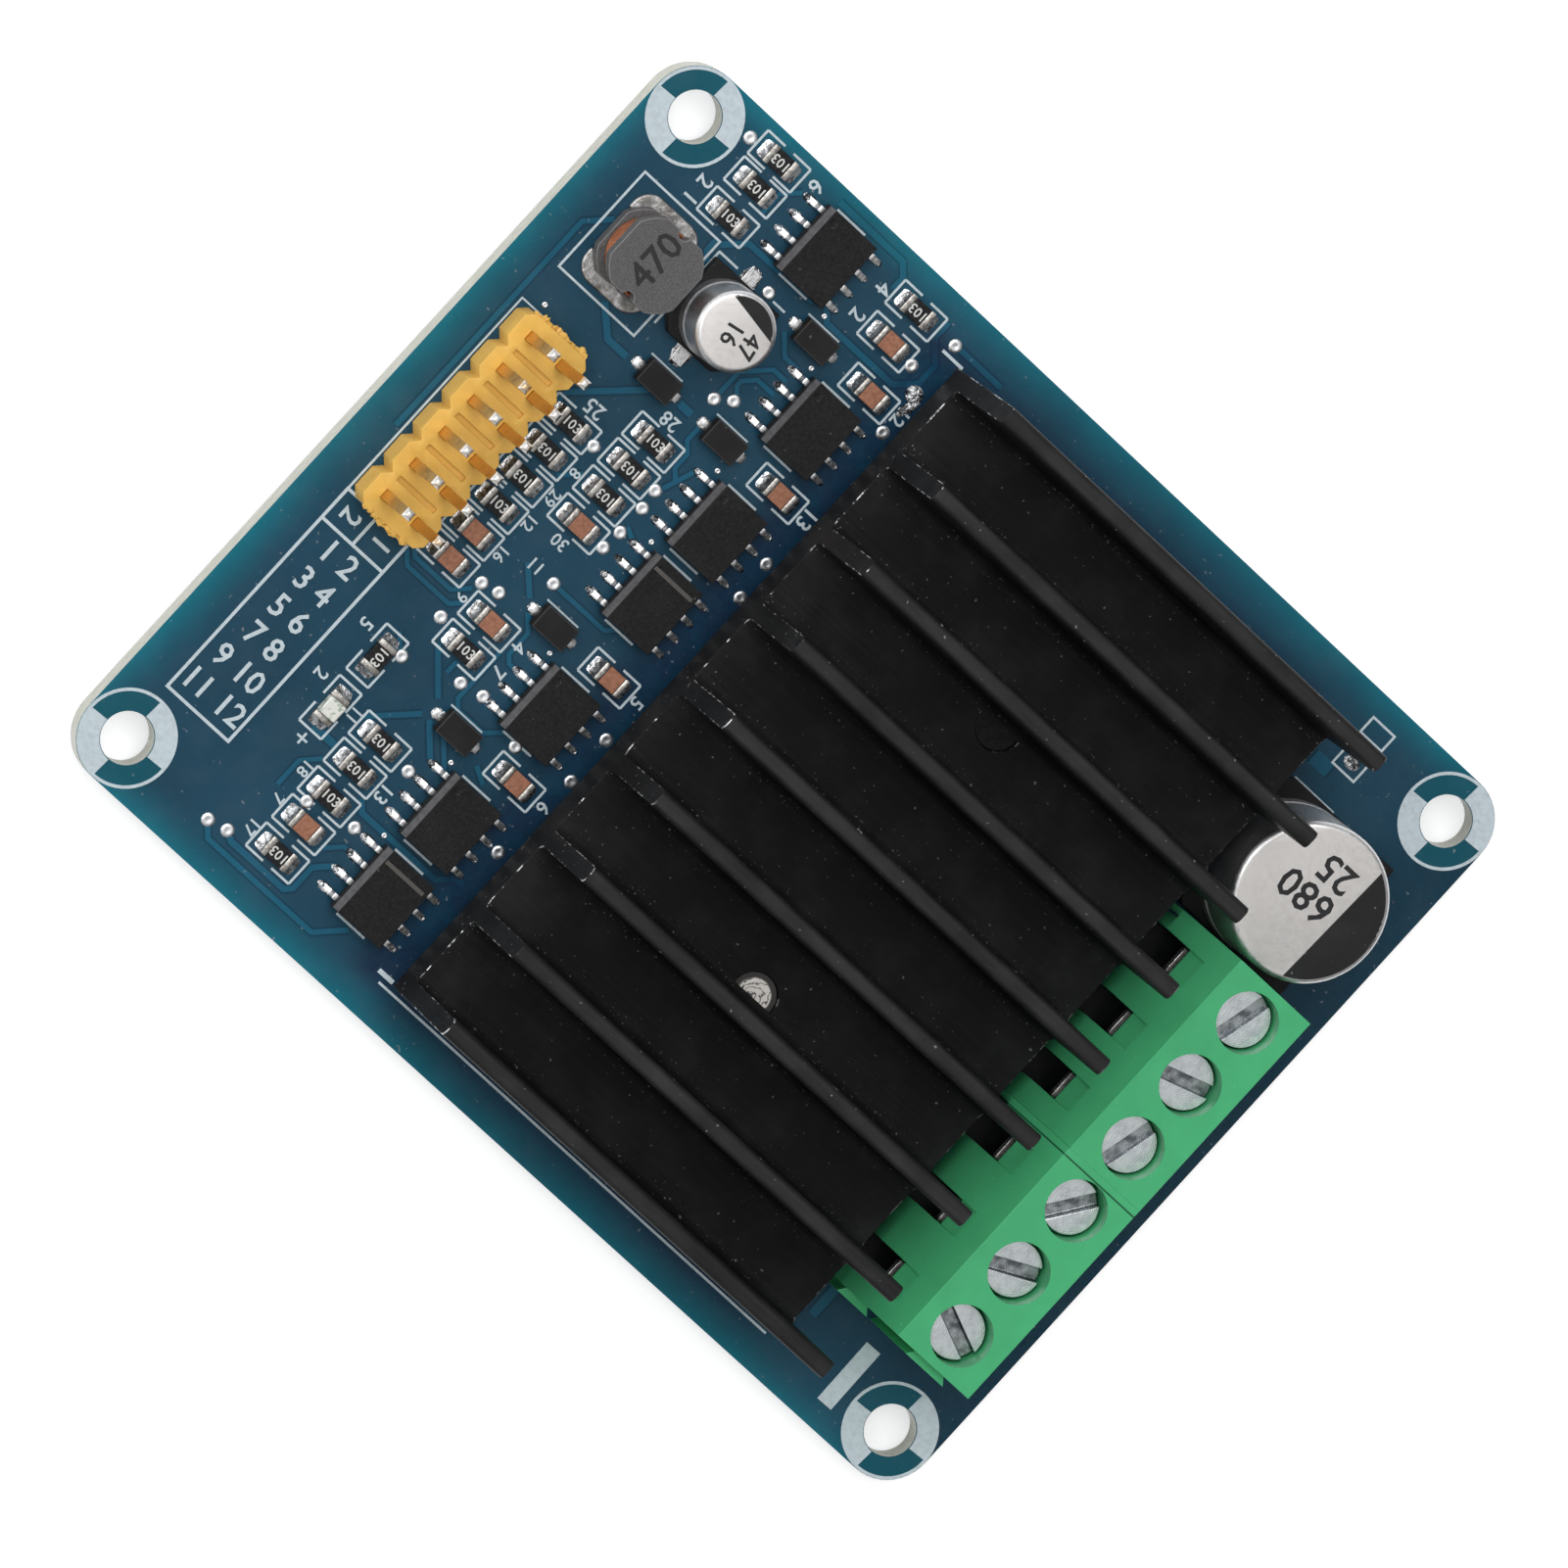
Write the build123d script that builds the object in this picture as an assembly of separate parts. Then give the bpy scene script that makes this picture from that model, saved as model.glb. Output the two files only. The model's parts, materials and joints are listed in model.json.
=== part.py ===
from build123d import *
import math
import os

# Dual motor driver module: a board with a finned heatsink over its power transistors,
# a two-row pin header at one end and two screw-terminal blocks at the other.
# Origin: centre of the four mounting holes, on the board's underside.
# +X runs from the header end to the terminal end, +Z out of the component side.

# Board
board_thickness = 1.6
board_corner_radius = 3.1
mounting_hole_radius = 1.65
mounting_hole_inset = 3.1

# Heatsink, one extrusion along X
heatsink_length = 32.0
heatsink_width = 50.0
heatsink_base_thickness = 2.8
fin_height = 10.9
fin_thickness = 1.2
fin_count = 9
fin_root_radius = 0.6
fin_tip_radius = 0.45
heatsink_side_shift = -0.3
heatsink_header_distance = 24.9
heatsink_side_margin = 3.1

# Heatsink screws, from below through the board
heatsink_screw_radius = 1.45
heatsink_screw_clearance = 0.05
heatsink_screw_spacing = 21.8
heatsink_screw_shift = 0.3
heatsink_screw_recess = 0.25
screw_head_radius = 2.75
screw_head_height = 1.7
board_screw_hole_radius = 1.7

# Power transistors and the pad between them and the heatsink
transistor_body_length = 6.1
transistor_body_width = 6.6
transistor_height = 2.3
transistor_tab_length = 1.0
transistor_tab_width = 5.2
transistor_metal_thickness = 0.5
transistor_lead_length = 2.7
transistor_lead_width = 0.8
transistor_lead_spacing = 4.56
transistor_row_pitch = 12.0
transistor_rows = 4
transistor_column_spacing = 18.4
pad_thickness = 0.3
pad_margin = 1.0
pad_hole_clearance = 0.3

# Terminal blocks
terminal_pitch = 5.08
terminal_poles = 3
terminal_blocks = 2
terminal_depth = 8.7
terminal_height = 10.0
terminal_top_depth = 6.0
terminal_back_height = 3.9
terminal_heatsink_gap = 1.25
terminal_board_ledge = 4.35
terminal_side_margin = 7.75
terminal_wall = 0.65
chamber_width = 4.1
chamber_length = 5.1
chamber_height = 6.9
well_radius = 1.95
well_floor_height = 7.4
shank_hole_radius = 1.5
entry_width = 3.5
entry_bottom = 0.9
entry_top = 4.3
window_width = 2.0
window_bottom = 1.4
window_top = 6.05
window_depth = 1.8
window_hole_top = 4.3
recess_length = 0.9
recess_depth = 0.25
rib_depth = 0.5
rib_flare = 0.4
rib_play = 0.1
upper_rib_length = 3.2
upper_rib_drop = 0.9
lower_rib_length = 2.6
lower_rib_height = 3.9

# Terminal screw, wire clamp and contact
terminal_head_radius = 1.8
terminal_head_height = 1.3
terminal_shank_radius = 1.25
terminal_slot_width = 0.85
terminal_slot_depth = 0.6
terminal_slot_angles = [76, 17, 76, 54, 25, -22]
clamp_length = 3.6
clamp_width = 3.7
clamp_wall = 0.6
clamp_floor = 0.5
clamp_top = 0.8
clamp_lift = 0.4
clamp_thread_clearance = 0.08
contact_width = 1.8
contact_thickness = 0.6
contact_height = 3.6
contact_rear_reach = 0.2
contact_screw_gap = 0.1
contact_leg_setback = 1.6
solder_pin_width = 1.0
solder_pin_length = 2.0
terminal_hole_radius = 0.75

# Pin header
header_pitch = 2.54
header_columns = 6
header_rows = 2
header_body_height = 2.5
header_pin_size = 0.64
header_pin_height = 6.0
header_pin_tail = 1.5
header_pin_point = 0.18
header_notch = 0.5
header_groove_width = 0.35
header_groove_depth = 0.3
header_edge_distance = 5.45
header_side_shift = 2.35
header_hole_radius = 0.5

# Eight-lead chips
chip_length = 4.9
chip_width = 3.9
chip_height = 1.55
chip_standoff = 0.12
chip_pin1_bevel = 0.35
chip_draft = 0.08
chip_lead_pitch = 1.27
chip_lead_width = 0.42
chip_lead_thickness = 0.2
chip_lead_span = 6.0
chip_lead_height = 0.7
chip_foot_length = 0.6
chip_heatsink_distance = 3.7
chip_notch_radius = 0.25

# Diodes
diode_length = 2.7
diode_width = 1.65
diode_height = 1.1
diode_foot_length = 0.5
diode_foot_width = 0.6
diode_foot_thickness = 0.15

# Chip resistors, capacitors and the indicator
chip_part_length = 2.0
chip_part_width = 1.25
resistor_height = 0.5
capacitor_height = 0.85
chip_end_length = 0.4
chip_end_proud = 0.03
led_height = 0.8

# Electrolytic capacitors: can radius, overall height, base side
large_can_radius = 5.0
large_can_height = 8.2
large_base_side = 10.3
large_can_gap = 0.22
large_can_heatsink_gap = 0.25
small_can_radius = 2.5
small_can_height = 5.4
small_base_side = 5.3
can_base_height = 1.0
can_groove_height = 1.1
can_groove_depth = 0.25
can_groove_width = 0.5
can_edge_radius = 0.35
base_chamfer_share = 0.16
can_lead_width = 0.9
can_lead_thickness = 0.2
can_lead_reach = 1.0

# Power inductor
inductor_length = 5.2
inductor_width = 5.8
inductor_height = 4.5
inductor_flange = 1.0
inductor_post_radius = 1.5
inductor_flat = 0.35
inductor_notch_radius = 0.4
winding_radius = 2.45
terminal_plate_length = 1.7
terminal_plate_width = 5.0
terminal_plate_thickness = 0.25
terminal_plate_corner = 1.3

# Solder joints on the underside
solder_foot_radius = 0.95
solder_top_radius = 0.55
solder_height = 0.8

# Where the small parts stand: columns from the header edge, places along Y.
# The chip column is listed downwards, each piece with the gap above it.
edge_column = 8.8
header_column = 10.2
indicator_column = 11.1
middle_column = 14.8
small_can_column = 12.4
upper_diode_column = 12.3
diode_column = 17.85
outer_chip_column = 21.4
bypass_column = 22.7
regulator_column = 14.65
inductor_column = 6.25
part_step = 2.15
edge_resistor_places = [26.5, 24.4, 22.0]
middle_resistor_places = [9.15, 7.0, 4.8, -7.6, -15.0, -17.2, -19.5, -24.05]
middle_capacitor_places = [2.55, -5.35, -21.75]
header_resistor_start = 6.6
header_resistor_count = 4
header_capacitor_count = 2
chip_column_top = 20.68
chip_column_order = [("capacitor", 0.0), ("gate_driver_1", 0.92), ("capacitor", 1.03),
                     ("gate_driver_2", 1.13), ("logic_chip_1", 0.84), ("capacitor", 1.92),
                     ("gate_driver_3", 0.95), ("capacitor", 1.3), ("gate_driver_4", 1.33),
                     ("logic_chip_2", 1.06)]
outer_resistor_place = 25.6
outer_capacitor_place = 23.1
indicator_resistor_place = -11.35
indicator_place = -15.5
diode_places = [20.1, 12.0, -3.0, -11.5]
upper_diode_place = 12.0
regulator_place = 24.2
inductor_place = 16.8
small_can_place = 17.15

# Worked out from the sizes above
board_length = (heatsink_header_distance + heatsink_length + terminal_heatsink_gap
                + terminal_depth + terminal_board_ledge)
board_width = heatsink_width + 2 * heatsink_side_margin
hole_spacing_x = board_length - 2 * mounting_hole_inset
hole_spacing_y = board_width - 2 * mounting_hole_inset
header_edge = -board_length / 2
terminal_edge = board_length / 2
board_top = board_thickness

heatsink_start = header_edge + heatsink_header_distance
heatsink_end = heatsink_start + heatsink_length
heatsink_middle = (heatsink_start + heatsink_end) / 2
heatsink_bottom = board_top + transistor_height + pad_thickness
heatsink_base_top = heatsink_bottom + heatsink_base_thickness
heatsink_screw_x = heatsink_middle + heatsink_screw_shift
heatsink_screw_places = [heatsink_side_shift + side * heatsink_screw_spacing / 2 for side in (-1, 1)]

block_length = terminal_poles * terminal_pitch
terminal_back = heatsink_end + terminal_heatsink_gap
terminal_front = terminal_back + terminal_depth
terminal_top_start = terminal_front - terminal_top_depth
terminal_screw_x = (terminal_front + terminal_top_start) / 2
terminal_start_y = -board_width / 2 + terminal_side_margin
terminal_end_y = terminal_start_y + terminal_blocks * block_length
chamber_front = terminal_front - terminal_wall
chamber_back = chamber_front - chamber_length
pole_count = terminal_blocks * terminal_poles
pole_places = [terminal_end_y - (pole + 0.5) * terminal_pitch for pole in range(pole_count)]

header_x = header_edge + header_edge_distance
header_y = header_side_shift
header_length = header_columns * header_pitch
header_width = header_rows * header_pitch
chip_x = heatsink_start - chip_heatsink_distance

large_can_x = heatsink_end + large_can_heatsink_gap + large_base_side / 2
large_can_y = terminal_end_y + large_can_gap + large_base_side / 2


# Helpers
def block(x_range, y_range, z_range):
    """A box given by its two limits along each axis."""
    size = [limits[1] - limits[0] for limits in (x_range, y_range, z_range)]
    middle = [(limits[1] + limits[0]) / 2 for limits in (x_range, y_range, z_range)]
    return Pos(*middle) * Box(*size)


def centred(x, y, length, width, bottom, top):
    """A box centred on x, y that stands from bottom to top."""
    return block((x - length / 2, x + length / 2), (y - width / 2, y + width / 2), (bottom, top))


def rod(x, y, radius, bottom, top):
    """A round bar along Z."""
    return Pos(x, y, (bottom + top) / 2) * Cylinder(radius, top - bottom)


def side_profile(points, y_start, y_end):
    """A closed outline in X and Z, drawn out along Y."""
    outline = make_face(Polyline(*[(x, y_end, z) for x, z in points], close=True))
    return extrude(outline, amount=y_end - y_start, dir=(0, -1, 0))


def group(pieces):
    """Several separate solids in one node."""
    solids = [solid for piece in pieces for solid in piece.solids()]
    return solids[0] if len(solids) == 1 else Compound(children=solids)


nodes = {}


# Circuit board
def circuit_board():
    outline = RectangleRounded(board_length, board_width, board_corner_radius)
    board = extrude(outline, amount=board_thickness)
    for x in (-hole_spacing_x / 2, hole_spacing_x / 2):
        for y in (-hole_spacing_y / 2, hole_spacing_y / 2):
            board -= rod(x, y, mounting_hole_radius, -1, board_thickness + 1)
    for x, y in header_pin_places():
        board -= rod(x, y, header_hole_radius, -1, board_thickness + 1)
    for y in pole_places:
        board -= rod(contact_leg_x(), y, terminal_hole_radius, -1, board_thickness + 1)
    for y in heatsink_screw_places:
        board -= rod(heatsink_screw_x, y, board_screw_hole_radius, -1, board_thickness + 1)
    return board


# Heatsink: base and fins, with rounded fin roots and tips
def heatsink():
    low_y = heatsink_side_shift - heatsink_width / 2
    high_y = heatsink_side_shift + heatsink_width / 2
    fin_pitch = (heatsink_width - fin_thickness) / (fin_count - 1)
    fin_top = heatsink_base_top + fin_height
    points = [(low_y, heatsink_bottom), (high_y, heatsink_bottom)]
    for fin in reversed(range(fin_count)):
        start = low_y + fin * fin_pitch
        end = start + fin_thickness
        if fin < fin_count - 1:
            points.append((end, heatsink_base_top))
        points += [(end, fin_top), (start, fin_top)]
        if fin > 0:
            points.append((start, heatsink_base_top))
    outline = make_face(Polyline(*[(heatsink_start, y, z) for y, z in points], close=True))
    roots = outline.vertices().filter_by(lambda corner: abs(corner.Z - heatsink_base_top) < 0.01)
    outline = fillet(roots, fin_root_radius)
    tips = outline.vertices().filter_by(lambda corner: abs(corner.Z - fin_top) < 0.01)
    outline = fillet(tips, min(fin_tip_radius, 0.45 * fin_thickness))
    body = extrude(outline, amount=heatsink_length, dir=(1, 0, 0))
    for y in heatsink_screw_places:
        body -= rod(heatsink_screw_x, y, heatsink_screw_radius + heatsink_screw_clearance,
                    heatsink_bottom - 1, heatsink_base_top)
    return body


def heatsink_screws():
    screws = []
    for y in heatsink_screw_places:
        tip = heatsink_base_top - heatsink_screw_recess
        shank = rod(heatsink_screw_x, y, heatsink_screw_radius, 0, tip)
        head = rod(heatsink_screw_x, y, screw_head_radius, -screw_head_height, 0)
        rim = head.edges().filter_by(GeomType.CIRCLE).sort_by(Axis.Z)[0]
        head = fillet(rim, 0.45 * screw_head_height)
        cross = Box(screw_head_radius, 0.6, screw_head_height)
        cross += Box(0.6, screw_head_radius, screw_head_height)
        screws.append(shank + head - Pos(heatsink_screw_x, y, -screw_head_height) * cross)
    return group(screws)


def thermal_pad():
    low = board_top + transistor_height
    pad = block((heatsink_start + pad_margin, heatsink_end - pad_margin),
                (heatsink_side_shift - heatsink_width / 2 + pad_margin,
                 heatsink_side_shift + heatsink_width / 2 - pad_margin),
                (low, low + pad_thickness))
    for y in heatsink_screw_places:
        pad -= rod(heatsink_screw_x, y, heatsink_screw_radius + pad_hole_clearance, low - 1, low + 1)
    return pad


# Power transistors, in two columns with their tabs outwards
def transistor_places():
    rows = [heatsink_side_shift + (row - (transistor_rows - 1) / 2) * transistor_row_pitch
            for row in range(transistor_rows)]
    return [(heatsink_middle + side * transistor_column_spacing / 2, y, side)
            for side in (-1, 1) for y in rows]


def transistor_bodies():
    return group([centred(x, y, transistor_body_length, transistor_body_width,
                          board_top, board_top + transistor_height)
                  for x, y, side in transistor_places()])


def transistor_metal():
    metal = []
    low = board_top
    high = board_top + transistor_metal_thickness
    reach = transistor_body_length / 2
    for x, y, side in transistor_places():
        tab_x = x + side * (reach + transistor_tab_length / 2)
        metal.append(centred(tab_x, y, transistor_tab_length, transistor_tab_width, low, high))
        for offset in (-transistor_lead_spacing / 2, transistor_lead_spacing / 2):
            lead_x = x - side * (reach + transistor_lead_length / 2)
            metal.append(centred(lead_x, y + offset, transistor_lead_length,
                                 transistor_lead_width, low, high))
    return group(metal)


# Terminal blocks
def contact_leg_x():
    return terminal_back + window_depth + contact_leg_setback


def dovetail(x, length, y, depth, low, high, play=0.0):
    """A rib that widens outwards, standing on the plane at y towards -Y."""
    half = length / 2 + play
    corners = [(x - half + rib_flare, y), (x + half - rib_flare, y),
               (x + half, y - depth - play), (x - half, y - depth - play)]
    outline = make_face(Polyline(*[(px, py, low) for px, py in corners], close=True))
    return extrude(outline, amount=high - low, dir=(0, 0, 1))


def terminal_housing(index):
    high_y = terminal_end_y - index * block_length
    low_y = high_y - block_length
    top = board_top + terminal_height
    outline = [(terminal_back, board_top), (terminal_front, board_top), (terminal_front, top),
               (terminal_top_start, top), (terminal_back, board_top + terminal_back_height)]
    body = side_profile(outline, low_y, high_y)

    upper = (terminal_screw_x, upper_rib_length)
    lower = (terminal_back + lower_rib_length / 2, lower_rib_length)
    for (x, length), rib_top in ((upper, top - upper_rib_drop),
                                 (lower, board_top + lower_rib_height - rib_play)):
        body += dovetail(x, length, low_y, rib_depth, board_top, rib_top)
        body -= dovetail(x, length, high_y, rib_depth, board_top - 1, rib_top + rib_play, rib_play)

    rise = (terminal_height - terminal_back_height) / (terminal_top_start - terminal_back)
    recess_start = terminal_back + (window_top - terminal_back_height) / rise
    recess_end = recess_start + recess_length
    start_z = board_top + window_top
    end_z = start_z + recess_length * rise
    recess = [(recess_start - recess_depth, start_z + 1), (recess_start, start_z - recess_depth * rise),
              (recess_end, end_z - recess_depth * rise), (recess_end, end_z + 1)]

    for y in pole_places[index * terminal_poles:(index + 1) * terminal_poles]:
        half = chamber_width / 2
        body -= block((chamber_back, chamber_front), (y - half, y + half),
                      (board_top - 1, board_top + chamber_height))
        body -= rod(terminal_screw_x, y, well_radius, board_top + well_floor_height, top + 1)
        body -= rod(terminal_screw_x, y, shank_hole_radius, board_top + chamber_height - 1, top)
        half = entry_width / 2
        body -= block((chamber_front - 1, terminal_front + 1), (y - half, y + half),
                      (board_top + entry_bottom, board_top + entry_top))
        half = window_width / 2
        inner = terminal_back + window_depth
        body -= block((terminal_back - 1, inner), (y - half, y + half),
                      (board_top + window_bottom, board_top + window_top))
        body -= block((inner - 1, chamber_back + 1), (y - half, y + half),
                      (board_top + window_bottom, board_top + window_hole_top))
        body -= side_profile(recess, y - half, y + half)
    return body


def terminal_screw(y, slot_angle):
    seat = board_top + well_floor_height
    head_top = seat + terminal_head_height
    tip = board_top + contact_height + contact_thickness + contact_screw_gap
    head = rod(terminal_screw_x, y, terminal_head_radius, seat, head_top)
    shank = rod(terminal_screw_x, y, terminal_shank_radius, tip, seat)
    slot = centred(0, 0, 3 * terminal_head_radius, terminal_slot_width,
                   head_top - terminal_slot_depth, head_top + 1)
    return head + shank - Pos(terminal_screw_x, y, 0) * Rot(0, 0, slot_angle) * slot


def wire_clamp(y):
    low = board_top + clamp_lift
    inner_low = low + clamp_floor
    inner_high = board_top + contact_height + contact_thickness + clamp_lift / 2
    high = inner_high + clamp_top
    clamp = centred(terminal_screw_x, y, clamp_length, clamp_width, low, high)
    clamp -= centred(terminal_screw_x, y, clamp_length + 2, clamp_width - 2 * clamp_wall,
                     inner_low, inner_high)
    return clamp - rod(terminal_screw_x, y, terminal_shank_radius + clamp_thread_clearance,
                       inner_high - 1, high + 1)


def terminal_contacts():
    contacts = []
    rear = terminal_back + window_depth - contact_rear_reach
    low = board_top + contact_height
    for y in pole_places:
        bar = block((rear, chamber_front - contact_rear_reach),
                    (y - contact_width / 2, y + contact_width / 2), (low, low + contact_thickness))
        leg = centred(contact_leg_x(), y, contact_thickness, contact_width, board_top, low)
        pin = centred(contact_leg_x(), y, contact_thickness, solder_pin_width,
                      -solder_pin_length, board_top)
        contacts.append(bar + leg + pin)
    return group(contacts)


# Pin header
def header_pin_places():
    return [(header_x + (row - (header_rows - 1) / 2) * header_pitch,
             header_y + (column - (header_columns - 1) / 2) * header_pitch)
            for row in range(header_rows) for column in range(header_columns)]


def header_housing():
    low = board_top
    high = board_top + header_body_height
    body = centred(header_x, header_y, header_width, header_length, low, high)
    for column in range(header_columns + 1):
        y = header_y + (column - header_columns / 2) * header_pitch
        for side in (-1, 1):
            edge = header_x + side * header_width / 2
            notch = Pos(edge, y, (low + high) / 2) * Rot(0, 0, 45)
            body -= notch * Box(header_notch * math.sqrt(2), header_notch * math.sqrt(2), high - low + 1)
        if 0 < column < header_columns:
            body -= centred(header_x, y, header_width - 4 * header_notch, header_groove_width,
                            high - header_groove_depth, high + 1)
    for x, y in header_pin_places():
        body -= centred(x, y, header_pin_size, header_pin_size, low - 1, high + 1)
    return body


def header_pins():
    pins = []
    top = board_top + header_body_height + header_pin_height
    for x, y in header_pin_places():
        pin = centred(x, y, header_pin_size, header_pin_size, -header_pin_tail, top)
        ends = pin.faces().sort_by(Axis.Z)
        pins.append(chamfer(ends[0].edges() + ends[-1].edges(), header_pin_point))
    return group(pins)


# Eight-lead chips, in one column with the capacitors that stand between them
def chip_column_places():
    places = []
    edge = chip_column_top
    for name, gap in chip_column_order:
        width = chip_part_width if name == "capacitor" else chip_length
        places.append((name, edge - gap - width / 2))
        edge -= gap + width
    return places


def chip_body(x, y):
    low = board_top + chip_standoff
    high = board_top + chip_height
    band_low = board_top + chip_lead_height - chip_lead_thickness / 2
    band_high = board_top + chip_lead_height + chip_lead_thickness * 1.5
    half = chip_width / 2
    outline = [(x - half + chip_draft, low), (x + half - chip_draft, low), (x + half, band_low),
               (x + half, band_high), (x + half - chip_draft, high),
               (x - half + chip_pin1_bevel, high), (x - half, high - chip_pin1_bevel),
               (x - half, band_low)]
    body = side_profile(outline, y - chip_length / 2, y + chip_length / 2)
    dimple = rod(x - half + 3 * chip_notch_radius, y + chip_length / 2 - 3 * chip_notch_radius,
                 chip_notch_radius, high - 0.08, high + 1)
    return body - dimple


def chip_leads(x, y):
    thickness = chip_lead_thickness
    toe = chip_lead_span / 2
    heel = toe - chip_foot_length
    side = chip_width / 2
    knee = side + 0.4 * (heel - side)
    shoulder = chip_lead_height
    outline = [(toe, 0), (toe, thickness), (heel, thickness), (knee + thickness, shoulder + thickness),
               (side, shoulder + thickness), (side, shoulder), (knee, shoulder), (heel - thickness, 0)]
    leads = []
    for direction in (-1, 1):
        for lead in range(4):
            middle = y + (lead - 1.5) * chip_lead_pitch
            points = [(x + direction * px, board_top + pz) for px, pz in outline]
            leads.append(side_profile(points, middle - chip_lead_width / 2,
                                      middle + chip_lead_width / 2))
    return group(leads)


# Diodes
def diode_centres():
    centres = [(header_edge + diode_column, y) for y in diode_places]
    return centres + [(header_edge + upper_diode_column, upper_diode_place)]


def diode_body(x, y):
    low = board_top + diode_foot_thickness
    high = board_top + diode_height
    half = diode_length / 2
    draft = 0.12
    band = low + 0.4 * (high - low)
    outline = [(x - half + draft, low), (x + half - draft, low), (x + half, band),
               (x + half - draft, high), (x - half + draft, high), (x - half, band)]
    return side_profile(outline, y - diode_width / 2, y + diode_width / 2)


def diode_leads():
    leads = []
    for x, y in diode_centres():
        for direction in (-1, 1):
            middle = x + direction * (diode_length / 2)
            leads.append(centred(middle, y, 2 * diode_foot_length, diode_foot_width,
                                 board_top, board_top + diode_foot_thickness))
    return group(leads)


# Two-ended chip parts: each place is x, y and whether its length runs along X
def header_column_places():
    count = header_resistor_count + header_capacitor_count
    return [(header_edge + header_column, header_resistor_start - step * part_step, True)
            for step in range(count)]


def resistor_places():
    places = [(header_edge + edge_column, y, True) for y in edge_resistor_places]
    places += [(header_edge + middle_column, y, True) for y in middle_resistor_places]
    places += header_column_places()[:header_resistor_count]
    places.append((header_edge + outer_chip_column, outer_resistor_place, True))
    places.append((header_edge + indicator_column, indicator_resistor_place, False))
    return places


def capacitor_places():
    places = [(header_edge + middle_column, y, True) for y in middle_capacitor_places]
    places += header_column_places()[header_resistor_count:]
    places += [(header_edge + bypass_column, y, True)
               for name, y in chip_column_places() if name == "capacitor"]
    places.append((header_edge + outer_chip_column, outer_capacitor_place, True))
    return places


def chip_part_bodies(places, height):
    length = chip_part_length - 2 * chip_end_length
    bodies = []
    for x, y, along_x in places:
        size = (length, chip_part_width) if along_x else (chip_part_width, length)
        bodies.append(centred(x, y, *size, board_top, board_top + height))
    return group(bodies)


def chip_part_ends(places, height):
    ends = []
    width = chip_part_width + 2 * chip_end_proud
    offset = (chip_part_length - chip_end_length) / 2
    for x, y, along_x in places:
        for side in (-offset, offset):
            if along_x:
                end = centred(x + side, y, chip_end_length, width,
                              board_top, board_top + height + chip_end_proud)
            else:
                end = centred(x, y + side, width, chip_end_length,
                              board_top, board_top + height + chip_end_proud)
            ends.append(end)
    return group(ends)


# Electrolytic capacitors
def can(x, y, radius, height):
    low = board_top + can_base_height
    high = board_top + height
    groove = low + can_groove_height
    neck = radius - can_groove_depth
    shape = rod(x, y, radius, low, high)
    ring = rod(x, y, radius + 1, groove, groove + can_groove_width)
    ring -= rod(x, y, neck, groove, groove + can_groove_width)
    shape -= ring
    rims = shape.edges().filter_by(GeomType.CIRCLE).sort_by(Axis.Z)
    return fillet(rims[-1], can_edge_radius)


def can_base(x, y, side, bevel_towards):
    """Square base; its two bevelled corners are on the side that bevel_towards points to."""
    base = centred(x, y, side, side, board_top + can_lead_thickness, board_top + can_base_height)
    toward_x, toward_y = bevel_towards
    corners = [edge for edge in base.edges().filter_by(Axis.Z)
               if (edge.center().X - x) * toward_x + (edge.center().Y - y) * toward_y > 0]
    return chamfer(corners, base_chamfer_share * side)


def can_leads(x, y, side, along_x):
    leads = []
    length = can_lead_reach + 0.3 * side
    offset = side / 2 + can_lead_reach - length / 2
    for direction in (-1, 1):
        if along_x:
            lead = centred(x + direction * offset, y, length, can_lead_width,
                           board_top, board_top + can_lead_thickness)
        else:
            lead = centred(x, y + direction * offset, can_lead_width, length,
                           board_top, board_top + can_lead_thickness)
        leads.append(lead)
    return group(leads)


# Power inductor: a ferrite bobbin with flats on its flanges
def inductor_outline(low, high):
    flange = rod(inductor_x, inductor_place, inductor_width / 2, low, high)
    limit = centred(inductor_x, inductor_place, inductor_length, inductor_width - 2 * inductor_flat,
                    low, high)
    flange &= limit
    for side in (-1, 1):
        edge = inductor_place + side * (inductor_width / 2 - inductor_flat)
        flange -= rod(inductor_x, edge, inductor_notch_radius, low - 1, high + 1)
    return flange


def inductor_core():
    low = board_top + terminal_plate_thickness
    high = board_top + inductor_height
    post = rod(inductor_x, inductor_place, inductor_post_radius, low, high)
    return (post + inductor_outline(low, low + inductor_flange)
            + inductor_outline(high - inductor_flange, high))


def inductor_winding():
    low = board_top + terminal_plate_thickness + inductor_flange
    high = board_top + inductor_height - inductor_flange
    coil = rod(inductor_x, inductor_place, winding_radius, low, high)
    return coil - rod(inductor_x, inductor_place, inductor_post_radius, low - 1, high + 1)


def inductor_terminals():
    reach = inductor_width / 2 + terminal_plate_length / 4
    outline = RectangleRounded(terminal_plate_width, 2 * reach, terminal_plate_corner)
    foot = Pos(inductor_x, inductor_place, board_top) * extrude(outline, amount=terminal_plate_thickness)
    plates = []
    for side in (-1, 1):
        middle = inductor_place + side * (reach - terminal_plate_length / 2)
        plates.append(foot & centred(inductor_x, middle, terminal_plate_width, terminal_plate_length,
                                     board_top, board_top + terminal_plate_thickness))
    return group(plates)


# Solder joints on the underside, round each through pin
def solder_joints():
    joints = []
    pins = [(x, y, header_pin_size, header_pin_size) for x, y in header_pin_places()]
    pins += [(contact_leg_x(), y, contact_thickness, solder_pin_width) for y in pole_places]
    for x, y, length, width in pins:
        cone = Cone(solder_top_radius, solder_foot_radius, solder_height)
        joint = Pos(x, y, -solder_height / 2) * cone
        joints.append(joint - centred(x, y, length, width, -2 * solder_height, 1))
    return group(joints)


inductor_x = header_edge + inductor_column
small_can_x = header_edge + small_can_column

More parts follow.
